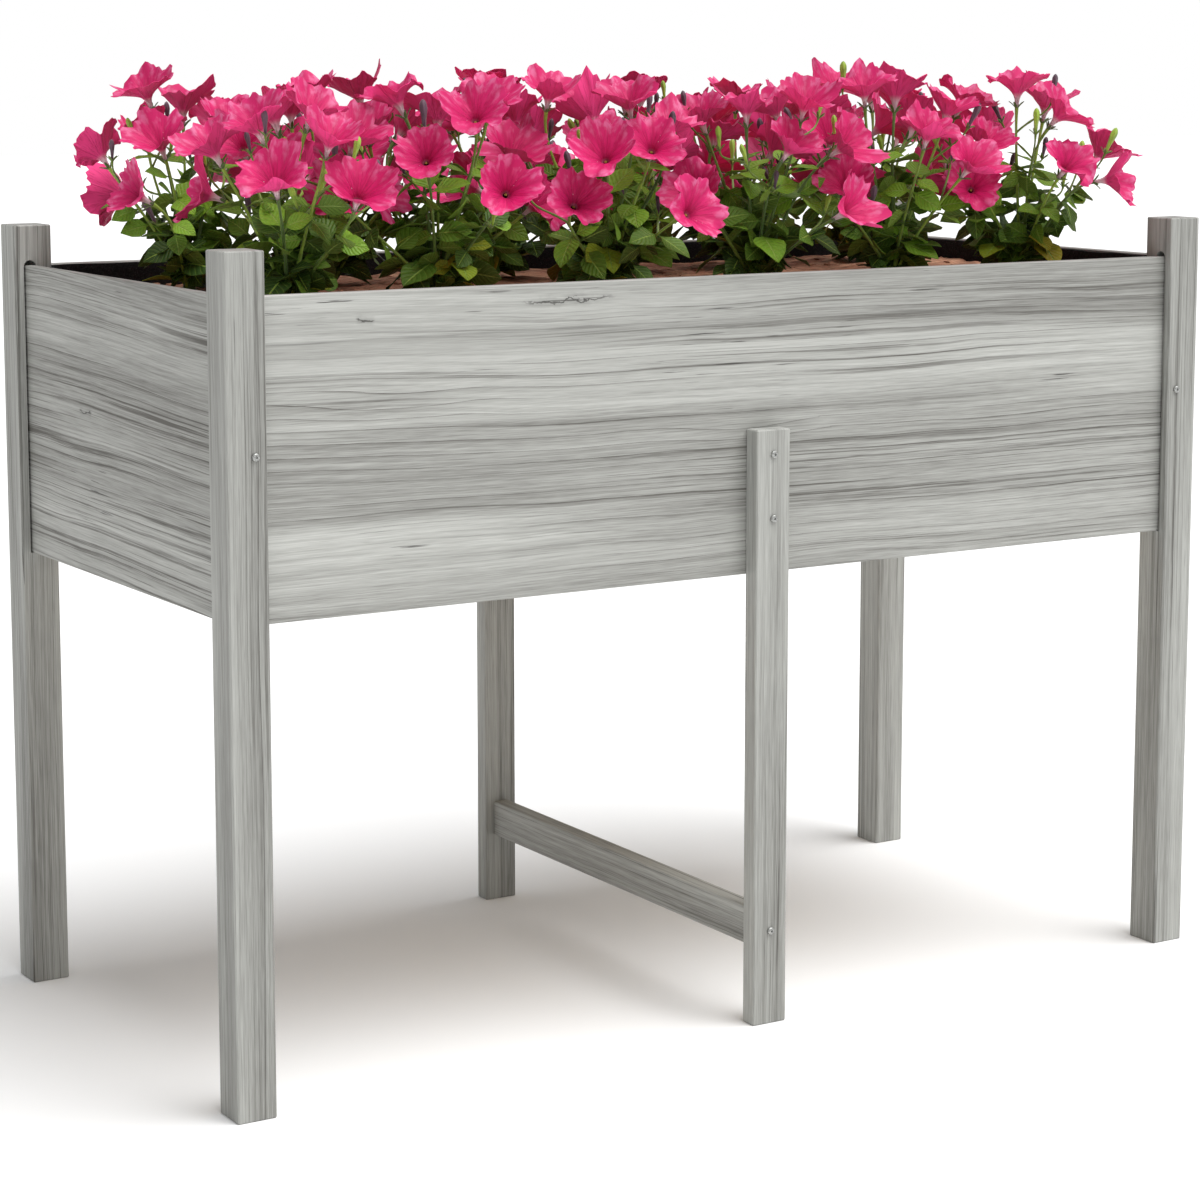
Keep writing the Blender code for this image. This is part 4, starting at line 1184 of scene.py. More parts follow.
@dataclass(frozen=True)
class BudPlace:
    """Where one bud grows: its stalk's root, its own base and its tip."""

    root: Vector
    base: Vector
    tip: Vector

    def heading(self) -> Vector:
        """The way the bud points."""
        return (self.tip - self.base).normalized()

    def stalk_point(self, share: float) -> Vector:
        """The stalk's middle line, which leaves its stem straight and turns up into the bud.

        Args:
            share: Share of the way from root to base.

        Returns:
            The point.
        """
        rise = self.base - self.root
        first = self.root + rise.normalized() * (0.5 * rise.length)
        return cubic(self.root, first, self.base - self.heading() * (0.35 * rise.length), self.base, share)


def middle(points: Iterable[bmesh.types.BMVert]) -> Vector:
    """The mean place of some vertices."""
    places = [point.co for point in points]
    return sum(places, Vector()) / len(places)


def neighbours(points: Iterable[bmesh.types.BMVert],
               *known: Iterable[bmesh.types.BMVert]) -> list[bmesh.types.BMVert]:
    """The vertices joined by an edge to some vertices, without those and without known ones.

    Args:
        points: The vertices.
        known: Groups of vertices to leave out.

    Returns:
        What is found, by index, so that each run has the same order.
    """
    start = set(points)
    found = {edge.other_vert(vert) for vert in start for edge in vert.link_edges} - start.union(*known)
    return sorted(found, key=lambda vert: vert.index)


@dataclass
class PackedPlant:
    """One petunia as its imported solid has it.

    Attributes:
        node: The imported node's name.
        rim_points: Vertices round a flower's rim, five tips and five notches.
        rim_reach: The least distance from a throat's floor to its rim.
        throat_height: Height of the throat's floor over the calyx at size 1.
        rim_height: Height of the rim over the calyx at size 1.
        collar: Height above the soil at which stems leave the crown.
        reach: How far the outermost stem leans out.
        crown_share: How far out on the crown its stem then stands, in metres.
        leaf_shape: A leaf's width for its length, and the share of it at which it is widest.
        leaf_widths: The least and largest width of a leaf.
        bud_widths: The least and largest width of a bud.
        bud_height: Height above the soil over which the buds are.
    """

    node: str
    rim_points: int = 10
    rim_reach: float = 0.025
    throat_height: float = 0.0270
    rim_height: float = 0.0385
    collar: float = 0.0048
    reach: float = 0.138
    crown_share: float = 0.00465
    leaf_shape: Pair = (0.62, 0.45)
    leaf_widths: Pair = (0.012, 0.050)
    bud_widths: Pair = (0.0042, 0.0065)
    bud_height: float = 0.025
    shape: bmesh.types.BMesh = field(init=False, repr=False)

    def __post_init__(self) -> None:
        """Take a merged copy of the node's mesh."""
        self.shape = bmesh.new()
        self.shape.from_mesh(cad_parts[self.node].data)
        bmesh.ops.remove_doubles(self.shape, verts=self.shape.verts, dist=1e-5)
        self.shape.verts.index_update()

    def crown(self) -> Vector:
        """The plant's place.

        Returns:
            The middle of its crown, at the soil.
        """
        low = min(vert.co.z for vert in self.shape.verts)
        foot = middle(vert for vert in self.shape.verts if vert.co.z < low + 1e-4)
        return Vector((foot.x, foot.y, SoilBed.datum()))

    def flowers(self) -> list[FlowerPlace]:
        """Find every flower by its throat's floor, which all of its rim's points are joined to.

        Returns:
            Where each flower stands.
        """
        crown, found = self.crown(), []
        for floor in self.shape.verts:
            rim = neighbours([floor])
            nearest = min(((vert.co - floor.co).length for vert in rim), default=0.0)
            if len(rim) == self.rim_points and nearest > self.rim_reach:
                throat = neighbours(rim, [floor])
                found.append(self.flower(crown, floor.co, middle(neighbours(throat, rim)), rim))
        return found

    def flower(self, crown: Vector, floor: Vector, base: Vector, rim: list) -> FlowerPlace:
        """Work out one flower's place.

        Args:
            crown: The plant's place.
            floor: The throat's floor.
            base: The middle of the calyx.
            rim: The rim's vertices.

        Returns:
            The flower's place.
        """
        axis = (floor - base).normalized()
        size = (floor - base).length / self.throat_height
        offsets = [vert.co - base for vert in rim]
        tips = sorted(offsets, key=lambda off: -off.cross(axis).length)[:self.rim_points // 2]
        side = (tips[0] - axis * tips[0].dot(axis)).normalized()
        up = axis.cross(side)
        tips.sort(key=lambda off: math.atan2(off.dot(up), off.dot(side)) % (TURN - 1e-3))
        lobes = tuple((off.cross(axis).length / size, off.dot(axis) / size) for off in tips)
        out = base + axis * self.rim_height * size - crown
        out.z = 0.0
        lean = min(1.0, out.length / self.reach)
        root = crown + out.normalized() * (self.crown_share * lean) + Vector((0, 0, self.collar))
        return FlowerPlace(root, base, axis, side, size, lobes)

    def ends(self, widths: Pair) -> Iterator[tuple[bmesh.types.BMVert, list[bmesh.types.BMVert]]]:
        """Find pointed ends: vertices with three neighbours that are joined to each other.

        Args:
            widths: The least and largest width of the three.

        Yields:
            Each end with its neighbours, the widest pair first.
        """
        for tip in self.shape.verts:
            ring = neighbours([tip])
            if len(ring) == 3 and all(len(set(neighbours([vert])) & set(ring)) == 2 for vert in ring):
                turns = (ring, ring[1:] + ring[:1], ring[2:] + ring[:2])
                ordered = max(turns, key=lambda turn: (turn[0].co - turn[1].co).length)
                if widths[0] < (ordered[0].co - ordered[1].co).length < widths[1]:
                    yield tip, ordered

    def leaves(self) -> list[LeafPlace]:
        """Find every leaf by its tip and work out its place.

        Returns:
            Where each leaf grows.
        """
        width, widest = self.leaf_shape
        found = []
        for tip, (left, right, ridge) in self.ends(self.leaf_widths):
            centre = (left.co + right.co) / 2
            normal = (ridge.co - centre).normalized()
            length = (left.co - right.co).length / width
            beyond = tip.co - centre
            along = beyond - normal * beyond.dot(normal)
            droop = -beyond.dot(normal) / (length * (1 - widest ** 2))
            along.normalize()
            root = tip.co - along * length + normal * (droop * length)
            found.append(LeafPlace(root, along, normal, length, droop))
        return found

    def buds(self) -> list[BudPlace]:
        """Find every bud by its tip and work out its place.

        Returns:
            Where each bud grows.
        """
        found = []
        for tip, ring in self.ends(self.bud_widths):
            inner = neighbours(ring, [tip])
            if tip.co.z > SoilBed.datum() + self.bud_height and len(inner) == 3:
                found.append(BudPlace(middle(neighbours(inner, ring)), middle(inner), tip.co.copy()))
        return found


# Models of what repeats, each made once in its own frame

@dataclass
class Model:
    """Something that repeats: it is modelled once on +Z and copied with its vertices moved.

    Attributes:
        piece: The finished model.
    """

    piece: bpy.types.Object = field(init=False, repr=False)

    def build(self) -> None:
        """Model the piece."""
        raise NotImplementedError

    def copied(self, points: np.ndarray, tint: float = 0.0) -> bpy.types.Object:
        """A copy with its vertices at new places."""
        return copy_of(self.piece, points, tint)

    def stood_at(self, base: Vector, axis: Vector, side: Vector, size: float) -> np.ndarray:
        """The model's vertices, sized and stood on a base along an axis."""
        return stood(points_of(self.piece) * size, base, axis, side)


@dataclass
class FlowerModel(Model):
    """A petunia flower on +Z with its first lobe on +X: a narrow tube that flares into five lobes.

    Attributes:
        profile: Radius and height of each ring, from calyx to margin.
        mouth: The ring at which the tube ends and the limb starts.
        sides: Vertices round a ring.
        thick: Thickness of the petals.
        cleft: Reach of the clefts between the lobes.
        square: How square the lobes are.
        nick: Depth of the notch in a lobe's tip.
        frill: How far the margin's reach waves, middling and fine.
        uneven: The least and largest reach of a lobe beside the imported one.
        ruffle: How far the margin waves.
        curl: How far a lobe's tip curls up or down.
        creases: Depth of the creases along the lobes and along the clefts.
        sway: How far the waves turn the margin, in radians.
        wave_counts: Fewest and most large, middling and small waves in a turn.
    """

    profile: tuple[Pair, ...] = (
        (0.0021, 0.0000), (0.0024, 0.0045), (0.0030, 0.0090), (0.0044, 0.0133), (0.0070, 0.0174),
        (0.0104, 0.0210), (0.0145, 0.0244), (0.0190, 0.0276), (0.0237, 0.0306), (0.0282, 0.0334),
        (0.0324, 0.0358), (0.0359, 0.0376), (0.0385, 0.0385))
    mouth: int = 4
    sides: int = 64
    thick: float = 0.00045
    cleft: float = 0.0288
    square: float = 3.2
    nick: float = 0.0020
    frill: Pair = (0.0015, 0.0019)
    uneven: Pair = (0.93, 1.10)
    ruffle: float = 0.0050
    curl: float = 0.0065
    creases: Pair = (0.0013, 0.0022)
    sway: float = 0.05
    wave_counts: tuple[tuple[int, int], ...] = ((2, 5), (5, 10), (11, 25))

    def build(self) -> None:
        """Draw the tube and limb up from a circle, map them and give them thickness."""
        self.piece = drawn_ring("flower", self.profile, self.sides)
        turn_down(self.piece, lambda centre: centre.xy.length)
        self.map_petals()
        dress(self.piece, PetalBack(), PetalFace())
        add_modifier(self.piece, "SOLIDIFY", thickness=self.thick, offset=-1.0, material_offset=1)
        smooth(self.piece, 80.0)

    def map_petals(self) -> None:
        """Map U round the flower and V along its profile."""
        lengths = [0.0]
        for (radius, height), (next_radius, next_height) in zip(self.profile, self.profile[1:]):
            lengths.append(lengths[-1] + math.hypot(next_radius - radius, next_height - height))
        mesh = self.piece.data
        layer = mesh.uv_layers.new(name="petal")
        ring_radii = np.array([radius for radius, _ in self.profile])
        radii, angles = polar(points_of(self.piece))
        turns = angles / TURN
        along = (np.array(lengths) / lengths[-1])[np.abs(radii[:, None] - ring_radii).argmin(axis=1)]
        for face in mesh.polygons:
            centre = math.atan2(face.center.y, face.center.x) / TURN
            for loop in face.loop_indices:
                vert = mesh.loops[loop].vertex_index
                around = turns[vert] + round(centre - turns[vert])
                layer.data[loop].uv = (around + 0.5, along[vert])

    def points_at(self, place: FlowerPlace, rng: random.Random) -> np.ndarray:
        """The model's vertices shaped to one flower's lobes, ruffled and put in place.

        Args:
            place: Where the flower stands.
            rng: The draw of its ruffles.

        Returns:
            The vertices' places.
        """
        points = points_of(self.piece)
        radius, angle = polar(points)
        margin, mouth = self.profile[-1][0], self.profile[self.mouth][0]
        limb = np.clip((radius - mouth) / (margin - mouth), 0.0, 1.0)
        lobe = angle / TURN * 5
        off = (lobe + 0.5) % 1.0 * 2 - 1
        nearest = np.floor(lobe + 0.5).astype(int) % 5
        reach, top = np.array(place.lobes)[nearest].T
        large, middling, small = (self.waves(rng, angle, counts) for counts in self.wave_counts)
        uneven = np.array([rng.uniform(*self.uneven) for _ in place.lobes])[nearest]
        curl = np.array([rng.gauss(0.0, self.curl) for _ in place.lobes])[nearest]
        curl *= (1 - off ** 2) * limb ** 2.5

        tip = self.cleft + (reach * uneven - self.cleft) * (1 - np.abs(off) ** self.square)
        tip -= self.nick * np.exp(-(off / 0.14) ** 2)
        tip += self.frill[0] * middling + self.frill[1] * small
        grown = radius * (1 + (tip / margin - 1) * limb ** 0.8) - 0.5 * np.abs(curl)

        waved = 0.9 * large * limb ** 1.2 + 0.8 * middling * limb ** 1.8 + 0.45 * small * limb ** 3
        lift = (top - self.profile[-1][1]) * (1 - off ** 2) * limb
        crease = self.creases[0] * np.exp(-(off / 0.12) ** 2)
        crease += self.creases[1] * np.exp(-((1 - np.abs(off)) / 0.16) ** 2)
        raised = points[:, 2] + lift + self.ruffle * waved + curl - crease * np.sin(np.pi * limb ** 0.8)

        turned = angle + self.sway * large * limb ** 1.5
        local = from_polar(grown, turned, raised) * place.size
        return stood(local, place.base, place.axis, place.side)

    def waves(self, rng: random.Random, angle: np.ndarray, counts: tuple[int, int]) -> np.ndarray:
        """A few waves round the flower.

        Args:
            rng: The draw of their strengths and phases.
            angle: Angles of the vertices.
            counts: Fewest and most waves in a turn.

        Returns:
            The waves' height at each vertex, about -1 to 1.
        """
        numbers = range(*counts)
        waves = (rng.uniform(0.4, 1.0) * np.sin(number * angle + rng.uniform(0, TURN)) for number in numbers)
        return sum(waves) / math.sqrt(len(numbers))


@dataclass
class LeafModel(Model):
    """A petunia leaf that lies along +X with its upper side on +Z, one metre long and one half wide.

    Attributes:
        outline: Share of the length and half width there, on a blade that is one wide at its widest.
        across: Faces across the blade.
        name: The model's name.
        thick: Thickness in metres once it is grown to its size.
        usual_length: A grown leaf's usual length.
        fold: How far the halves rise beside the midrib, for the leaf's length.
        wave: How far its margin waves, for the leaf's length.
        bend: How far it bends to a side at most.
    """

    outline: tuple[Pair, ...] = (
        (0.0, 0.035), (0.10, 0.035), (0.17, 0.13), (0.27, 0.36), (0.40, 0.49), (0.55, 0.485), (0.70, 0.39),
        (0.83, 0.26), (0.93, 0.12), (1.0, 0.012))
    across: int = 4
    name: str = "leaf"
    thick: float = 0.0005
    usual_length: float = 0.044
    fold: float = 0.045
    wave: float = 0.022
    bend: float = 0.10

    def build(self) -> None:
        """Shape a grid to the leaf's outline, map it and give it thickness."""
        columns = len(self.outline) - 1
        self.piece = start_piece(self.name, bpy.ops.mesh.primitive_grid_add, x_subdivisions=columns,
                                 y_subdivisions=self.across, size=1.0)
        points = points_of(self.piece)
        nearest = np.rint((points[:, 0] + 0.5) * columns).astype(int)
        shares, widths = np.array(self.outline)[nearest].T
        layer = self.piece.data.uv_layers.new(name="leaf")
        for loop in self.piece.data.loops:
            layer.data[loop.index].uv = (points[loop.vertex_index, 1] + 0.5, shares[loop.vertex_index])
        across = points[:, 1] * 2
        rise = self.fold * np.abs(across) * np.minimum(1.0, widths * 2.4)
        move_points(self.piece, np.stack([shares, across * widths, rise], axis=1))
        dress(self.piece,
              LeafBlade("leaf_upper", srgb(50, 78, 24), srgb(132, 178, 46), srgb(142, 174, 74)),
              LeafBlade("leaf_under", srgb(70, 96, 40), srgb(136, 170, 66), srgb(150, 178, 92)))
        add_modifier(self.piece, "SOLIDIFY", thickness=self.thick / self.usual_length, offset=-1.0,
                     material_offset=1)
        smooth(self.piece, 70.0)

    def points_at(self, place: LeafPlace, width: float, rng: random.Random) -> np.ndarray:
        """The model's vertices bent to one leaf's droop, waved and put in place.

        Args:
            place: Where the leaf grows.
            width: Its width for its length.
            rng: The draw of its waves.

        Returns:
            The vertices' places.
        """
        share, half, rise = points_of(self.piece).T
        phase, bend = rng.uniform(0, TURN), rng.uniform(-self.bend, self.bend)
        wave = self.wave * np.sin(share * 11 + phase) * half * 2
        across = half * width + bend * share ** 2 * (1 - share)
        local = np.stack([share, across, rise + wave - place.droop * share ** 2], axis=1)
        return stood(local * place.length, place.root, place.normal, place.along)


@dataclass
class SmallLeafModel(LeafModel):
    """A small leaf that grows at a stem's joint, on a shorter stalk."""

    outline: tuple[Pair, ...] = (
        (0.0, 0.04), (0.14, 0.06), (0.30, 0.40), (0.52, 0.49), (0.74, 0.36), (0.90, 0.16), (1.0, 0.012))
    across: int = 2
    name: str = "small_leaf"


@dataclass
class StemModel(Model):
    """A stem one unit long on +Z, with its radii at equal steps, a little thicker at its joints."""

    radii: tuple[float, ...] = (
        0.0021, 0.0019, 0.0018, 0.0018, 0.0022, 0.0018, 0.0017, 0.0016, 0.0016, 0.0020, 0.0016, 0.0015,
        0.0014, 0.0015, 0.0018, 0.0023)
    sides: int = 8

    def build(self) -> None:
        """Draw the stem up from a filled circle."""
        last = len(self.radii) - 1
        profile = [(radius, step / last) for step, radius in enumerate(self.radii)]
        self.piece = drawn_ring("stem", profile, self.sides, filled=True)
        turn_outwards(self.piece)
        dress(self.piece, Stalk())
        smooth(self.piece)

    def points_along(self, line: Callable[[float], Vector], thick: float = 1.0) -> np.ndarray:
        """The model's vertices bent along a line.

        Args:
            line: The line's point at a share of its length.
            thick: Thickness beside the model's.

        Returns:
            The vertices' places.
        """
        points = points_of(self.piece)
        last = len(self.radii) - 1
        centres = [line(step / last) for step in range(last + 1)]
        side = Vector((0.0, 1.0, 0.0))
        rings = []
        for step, centre in enumerate(centres):
            heading = (centres[min(step + 1, last)] - centres[max(step - 1, 0)]).normalized()
            side = (side - heading * side.dot(heading)).normalized()
            rings.append((centre, side, heading.cross(side)))
        centre, right, up = np.array(rings)[np.rint(points[:, 2] * last).astype(int)].transpose(1, 0, 2)
        return centre + (right * points[:, :1] + up * points[:, 1:2]) * thick


@dataclass
class CalyxModel(Model):
    """Five narrow sepals that spread from under the flower, on +Z.

    Attributes:
        length: Length of a sepal.
        half_widths: Half its width at equal steps from root to tip.
        spread: How far a sepal leans out, in degrees.
        foot: How far out and up its root is.
        bow: How far its tip bows out and down.
        keel: Depth of its middle line.
        thick: Its thickness.
    """

    length: float = 0.0105
    half_widths: tuple[float, ...] = (0.0011, 0.0014, 0.0016, 0.0013, 0.0003)
    spread: float = 34.0
    foot: Pair = (0.0016, -0.0006)
    bow: Pair = (0.0022, -0.0014)
    keel: float = 0.0005
    thick: float = 0.0006

    def build(self) -> None:
        """Shape one sepal from a grid, lean it out and copy it round."""
        steps = len(self.half_widths) - 1
        sepal = start_piece("sepal", bpy.ops.mesh.primitive_grid_add, x_subdivisions=steps, y_subdivisions=2,
                            size=1.0)
        points = points_of(sepal)
        share = points[:, 0] + 0.5
        half = np.array(self.half_widths)[np.rint(share * steps).astype(int)]
        lean = math.radians(self.spread)
        out = self.foot[0] + share * self.length * math.sin(lean) + self.bow[0] * share ** 2
        up = self.foot[1] + share * self.length * math.cos(lean) + self.bow[1] * share ** 2
        up -= self.keel * (np.abs(points[:, 1]) < 0.1)
        move_points(sepal, np.stack([out, points[:, 1] * 2 * half, up], axis=1))
        add_modifier(sepal, "SOLIDIFY", thickness=self.thick, offset=0.0)
        shape = points_of(sepal)
        turns = [np.array(Matrix.Rotation(TURN * turn / 5, 3, "Z")) for turn in range(5)]
        self.piece = join("calyx", [copy_of(sepal, shape @ turn.T) for turn in turns])
        discard([sepal])
        dress(self.piece, Stalk())
        smooth(self.piece)


@dataclass
class BudModel(Model):
    """A furled bud one unit long on +Z, with flutes between its five folded lobes that twist up it."""

    profile: tuple[Pair, ...] = (
        (0.052, 0.0), (0.060, 0.15), (0.072, 0.35), (0.096, 0.55), (0.118, 0.70), (0.110, 0.84),
        (0.066, 0.95), (0.012, 1.0))
    sides: int = 20
    flutes: float = 0.16
    twist: float = 1.1

    def build(self) -> None:
        """Draw the club up from a circle, close it, and twist flutes into it."""
        self.piece = drawn_ring("bud", self.profile, self.sides)
        close_ends(self.piece)
        points = points_of(self.piece)
        radius, angle = polar(points)
        height = points[:, 2]
        fluted = radius * (1 + self.flutes * np.cos(5 * (angle + self.twist * height)))
        move_points(self.piece, from_polar(fluted, angle, height))
        dress(self.piece, Stalk())
        smooth(self.piece)


@dataclass
class AntherModel(Model):
    """Five anthers on filaments round a stigma, in the throat on +Z."""

    height: float = 0.0128
    out: float = 0.0010
    stigma_above: float = 0.0010
    size: float = 0.00060
    filament: float = 0.009
    taper: float = 0.4

    def build(self) -> None:
        """Draw a filament down from a small ball, and place five of them round a sixth."""
        round_it = [(self.out * math.cos(TURN * turn / 5), self.out * math.sin(TURN * turn / 5), self.height)
                    for turn in range(5)]
        balls = []
        for place in (*round_it, (0.0, 0.0, self.height + self.stigma_above)):
            ball = start_piece("anther", bpy.ops.mesh.primitive_ico_sphere_add, subdivisions=1,
                               radius=self.size, location=place)
            with editing(ball):
                pick(ball, "verts", lambda vert: vert.co.z < -0.5 * self.size)
                bpy.ops.mesh.extrude_region_move(TRANSFORM_OT_translate={"value": (0.0, 0.0, -self.filament)})
                bpy.ops.transform.resize(value=(self.taper, self.taper, 1.0))
            ball.select_set(True)
            bpy.ops.object.transform_apply(location=True, rotation=True, scale=True)
            balls.append(ball)
        self.piece = join("anthers", balls)
        dress(self.piece, Pollen())
        smooth(self.piece)


@dataclass
class CrownModel(Model):
    """A plant's knobbly crown, from under the soil to just over it, with ridges that wind up it."""

    profile: tuple[Pair, ...] = (
        (0.0060, -0.0280), (0.0072, -0.0060), (0.0075, 0.0030), (0.0070, 0.0080), (0.0058, 0.0120),
        (0.0034, 0.0136), (0.0008, 0.0140))
    sides: int = 18
    ridges: int = 6
    ridge: float = 0.07
    wind: float = 220.0

    def build(self) -> None:
        """Draw the crown up from a circle, close it and give it ridges."""
        self.piece = drawn_ring("crown", self.profile, self.sides)
        close_ends(self.piece)
        points = points_of(self.piece)
        _, angle = polar(points)
        narrow = 1 - self.ridge * (1 + np.cos(self.ridges * angle + self.wind * points[:, 2])) / 2
        points[:, :2] *= narrow[:, None]
        move_points(self.piece, points)
        dress(self.piece, Stalk())
        smooth(self.piece)


# Sub-assemblies

@dataclass
class WoodenBox:
    """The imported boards, legs, stretcher, cleats and floor boards, which only get their finish.

    The strip is the front board's lighter upper part. Each split has a place, a height and half a length.
    """

    strip: float = 0.042
    front_splits: tuple[Triple, ...] = ((-0.231, 0.809, 0.062), (-0.467, 0.799, 0.012))
    end_splits: tuple[Triple, ...] = ((0.090, 0.679, 0.020),)
    end_light: Colour = srgb(190, 191, 186)
    leg_light: Colour = srgb(187, 188, 183)
    leg_dark: Colour = srgb(86, 84, 79)
    pine_light: Colour = srgb(196, 176, 146)
    pine_dark: Colour = srgb(136, 110, 80)

    def finishes(self) -> dict[str, Finish]:
        """The finish of each kind of wooden node.

        Returns:
            The finishes by how the node's name starts, the more special first.
        """
        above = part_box("board_front")[1].z - self.strip
        pine = {"light": self.pine_light, "dark": self.pine_dark}
        legs = {"light": self.leg_light, "dark": self.leg_dark}
        return {
            "board_front": StainedWood("front_board", Grain.LONG, lighter_above=above,
                                       splits=self.front_splits),
            "board_back": StainedWood("back_board", Grain.LONG),
            "board_": StainedWood("end_board", Grain.DEEP, spacing=0.013, wander=2.6, slant=1.8, lines=1.3,
                                  light=self.end_light, splits=self.end_splits),
            "leg_": StainedWood("leg_wood", Grain.UP, spacing=0.0085, wander=1.5, cracks=0.5, **legs),
            "stretcher": StainedWood("stretcher_wood", Grain.DEEP, spacing=0.012, wander=2.0),
            "cleat_": StainedWood("cleat_pine", Grain.LONG, spacing=0.009, wander=2.0, **pine),
            "floor_board_": StainedWood("floor_pine", Grain.DEEP, spacing=0.014, wander=3.0, **pine),
        }

    def dress(self) -> None:
        """Give every wooden node the first finish that fits its name."""
        finishes = self.finishes()
        for name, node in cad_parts.items():
            start = next((start for start in finishes if name.startswith(start)), None)
            if start is None:
                continue
            for material_slot in node.material_slots:
                material_slot.material = finishes[start].material()
            log.info("%s: %s", name, finishes[start].name)


@dataclass
class CoachScrews(Model):
    """The round-headed screws on the front and back legs, each with a six-sided recess."""

    head_radius: float = 0.0042
    head_height: float = 0.0028
    dome: float = 0.0017
    shank_radius: float = 0.0021
    recess: float = 0.0015
    recess_depth: float = 0.0013
    sides: int = 24

    def build(self) -> None:
        """Model one screw and put a copy in place of each packed one."""
        self.model()
        shape = points_of(self.piece)
        for name in sorted(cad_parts):
            if not name.startswith("screw_"):
                continue
            low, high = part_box(name)
            outwards = -1.0 if name.startswith("screw_front") else 1.0
            face = (low.y if outwards < 0 else high.y) - outwards * self.head_height
            length = high.y - low.y - self.head_height
            local = shape.copy()
            local[:, 2] = np.where(local[:, 2] < -0.5, -length, local[:, 2])
            centre = Vector(((low.x + high.x) / 2, face, (low.z + high.z) / 2))
            screw = self.copied(stood(local, centre, Vector((0, outwards, 0)), Vector((-outwards, 0, 0))))
            screw.name = f"coach_{name}"
            hand_in(screw, "steel", name)
        discard([self.piece])

    def model(self) -> None:
        """Shape a cylinder into a domed head with a recess and a shank one metre long."""
        self.piece = start_piece("coach_screw", bpy.ops.mesh.primitive_cylinder_add, vertices=self.sides,
                                 radius=self.head_radius, depth=self.head_height,
                                 location=(0.0, 0.0, self.head_height / 2))
        bpy.ops.object.transform_apply(location=True, rotation=True, scale=True)
        near = 1e-5
        top, bottom = self.head_height - near, near
        with editing(self.piece, "EDGE"):
            pick(self.piece, "edges", lambda edge: min(vert.co.z for vert in edge.verts) > top)
            bpy.ops.mesh.bevel(offset=self.dome, segments=4, affect="EDGES")
        with editing(self.piece, "FACE"):
            pick(self.piece, "faces", lambda face: min(vert.co.z for vert in face.verts) > top)
            bpy.ops.mesh.inset(thickness=self.head_radius - self.dome - self.recess)
            bpy.ops.mesh.extrude_region_move(TRANSFORM_OT_translate={"value": (0.0, 0.0, -self.recess_depth)})
            pick(self.piece, "faces", lambda face: max(vert.co.z for vert in face.verts) < bottom)
            bpy.ops.mesh.inset(thickness=self.head_radius - self.shank_radius)
            bpy.ops.mesh.extrude_region_move(TRANSFORM_OT_translate={"value": (0.0, 0.0, -1.0)})
        self.square_recess(bottom)
        dress(self.piece, Steel())
        smooth(self.piece, 35.0)

    def square_recess(self, bottom: float) -> None:
        """Draw the recess's round wall in to six flats.

        Args:
            bottom: Height over which the head is.
        """
        points = points_of(self.piece)
        radius, angle = polar(points)
        sixth = TURN / 6
        flat = math.cos(sixth / 2) / np.cos(angle % sixth - sixth / 2)
        inside = (points[:, 2] > bottom) & (radius < self.recess * 1.02)
        points[inside, :2] *= flat[inside, None]
        move_points(self.piece, points)


@dataclass
class BedPlan:
    """The inside of the box in plan: a rectangle with the legs' corners cut out, as a grid of faces.

    Attributes:
        half_x: Half its length.
        half_y: Half its depth.
        leg_x: Where the corner cuts start along its length.
        leg_y: Where they start along its depth.
        cells: Faces along its length and depth.
    """

    half_x: float
    half_y: float
    leg_x: float
    leg_y: float
    cells: tuple[int, int]

    @classmethod
    def of_node(cls, node: str, clear: float, cells: tuple[int, int]) -> "BedPlan":
        """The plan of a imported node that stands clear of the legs."""
        edge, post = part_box(node)[1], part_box("leg_front_left")[1]
        return cls(edge.x, edge.y, -post.x - clear, -post.y - clear, cells)

    def build(self, name: str, height: float) -> bpy.types.Object:
        """Fit a grid to the plan and cut its corners out.

        Args:
            name: The piece's name.
            height: Its height.

        Returns:
            The flat piece.
        """
        piece = start_piece(name, bpy.ops.mesh.primitive_grid_add, x_subdivisions=self.cells[0],
                            y_subdivisions=self.cells[1], size=2.0)
        points = points_of(piece) * (self.half_x, self.half_y, 1.0) + (0.0, 0.0, height)
        for part, cut, half in ((0, self.leg_x, self.half_x), (1, self.leg_y, self.half_y)):
            lines = np.unique(np.abs(points[:, part]).round(6))
            nearest = lines[np.abs(lines[:-1] - cut).argmin()] if cut < half else half
            on_line = np.abs(np.abs(points[:, part]) - nearest) < 1e-5
            points[on_line, part] = np.sign(points[on_line, part]) * cut
        move_points(piece, points)
        with editing(piece, "FACE"):
            pick(piece, "faces", self.in_corner)
            bpy.ops.mesh.delete(type="FACE")
        return piece

    def in_corner(self, face: bmesh.types.BMFace) -> bool:
        """Whether a face lies where a leg stands."""
        centre = face.calc_center_median()
        return abs(centre.x) > self.leg_x and abs(centre.y) > self.leg_y


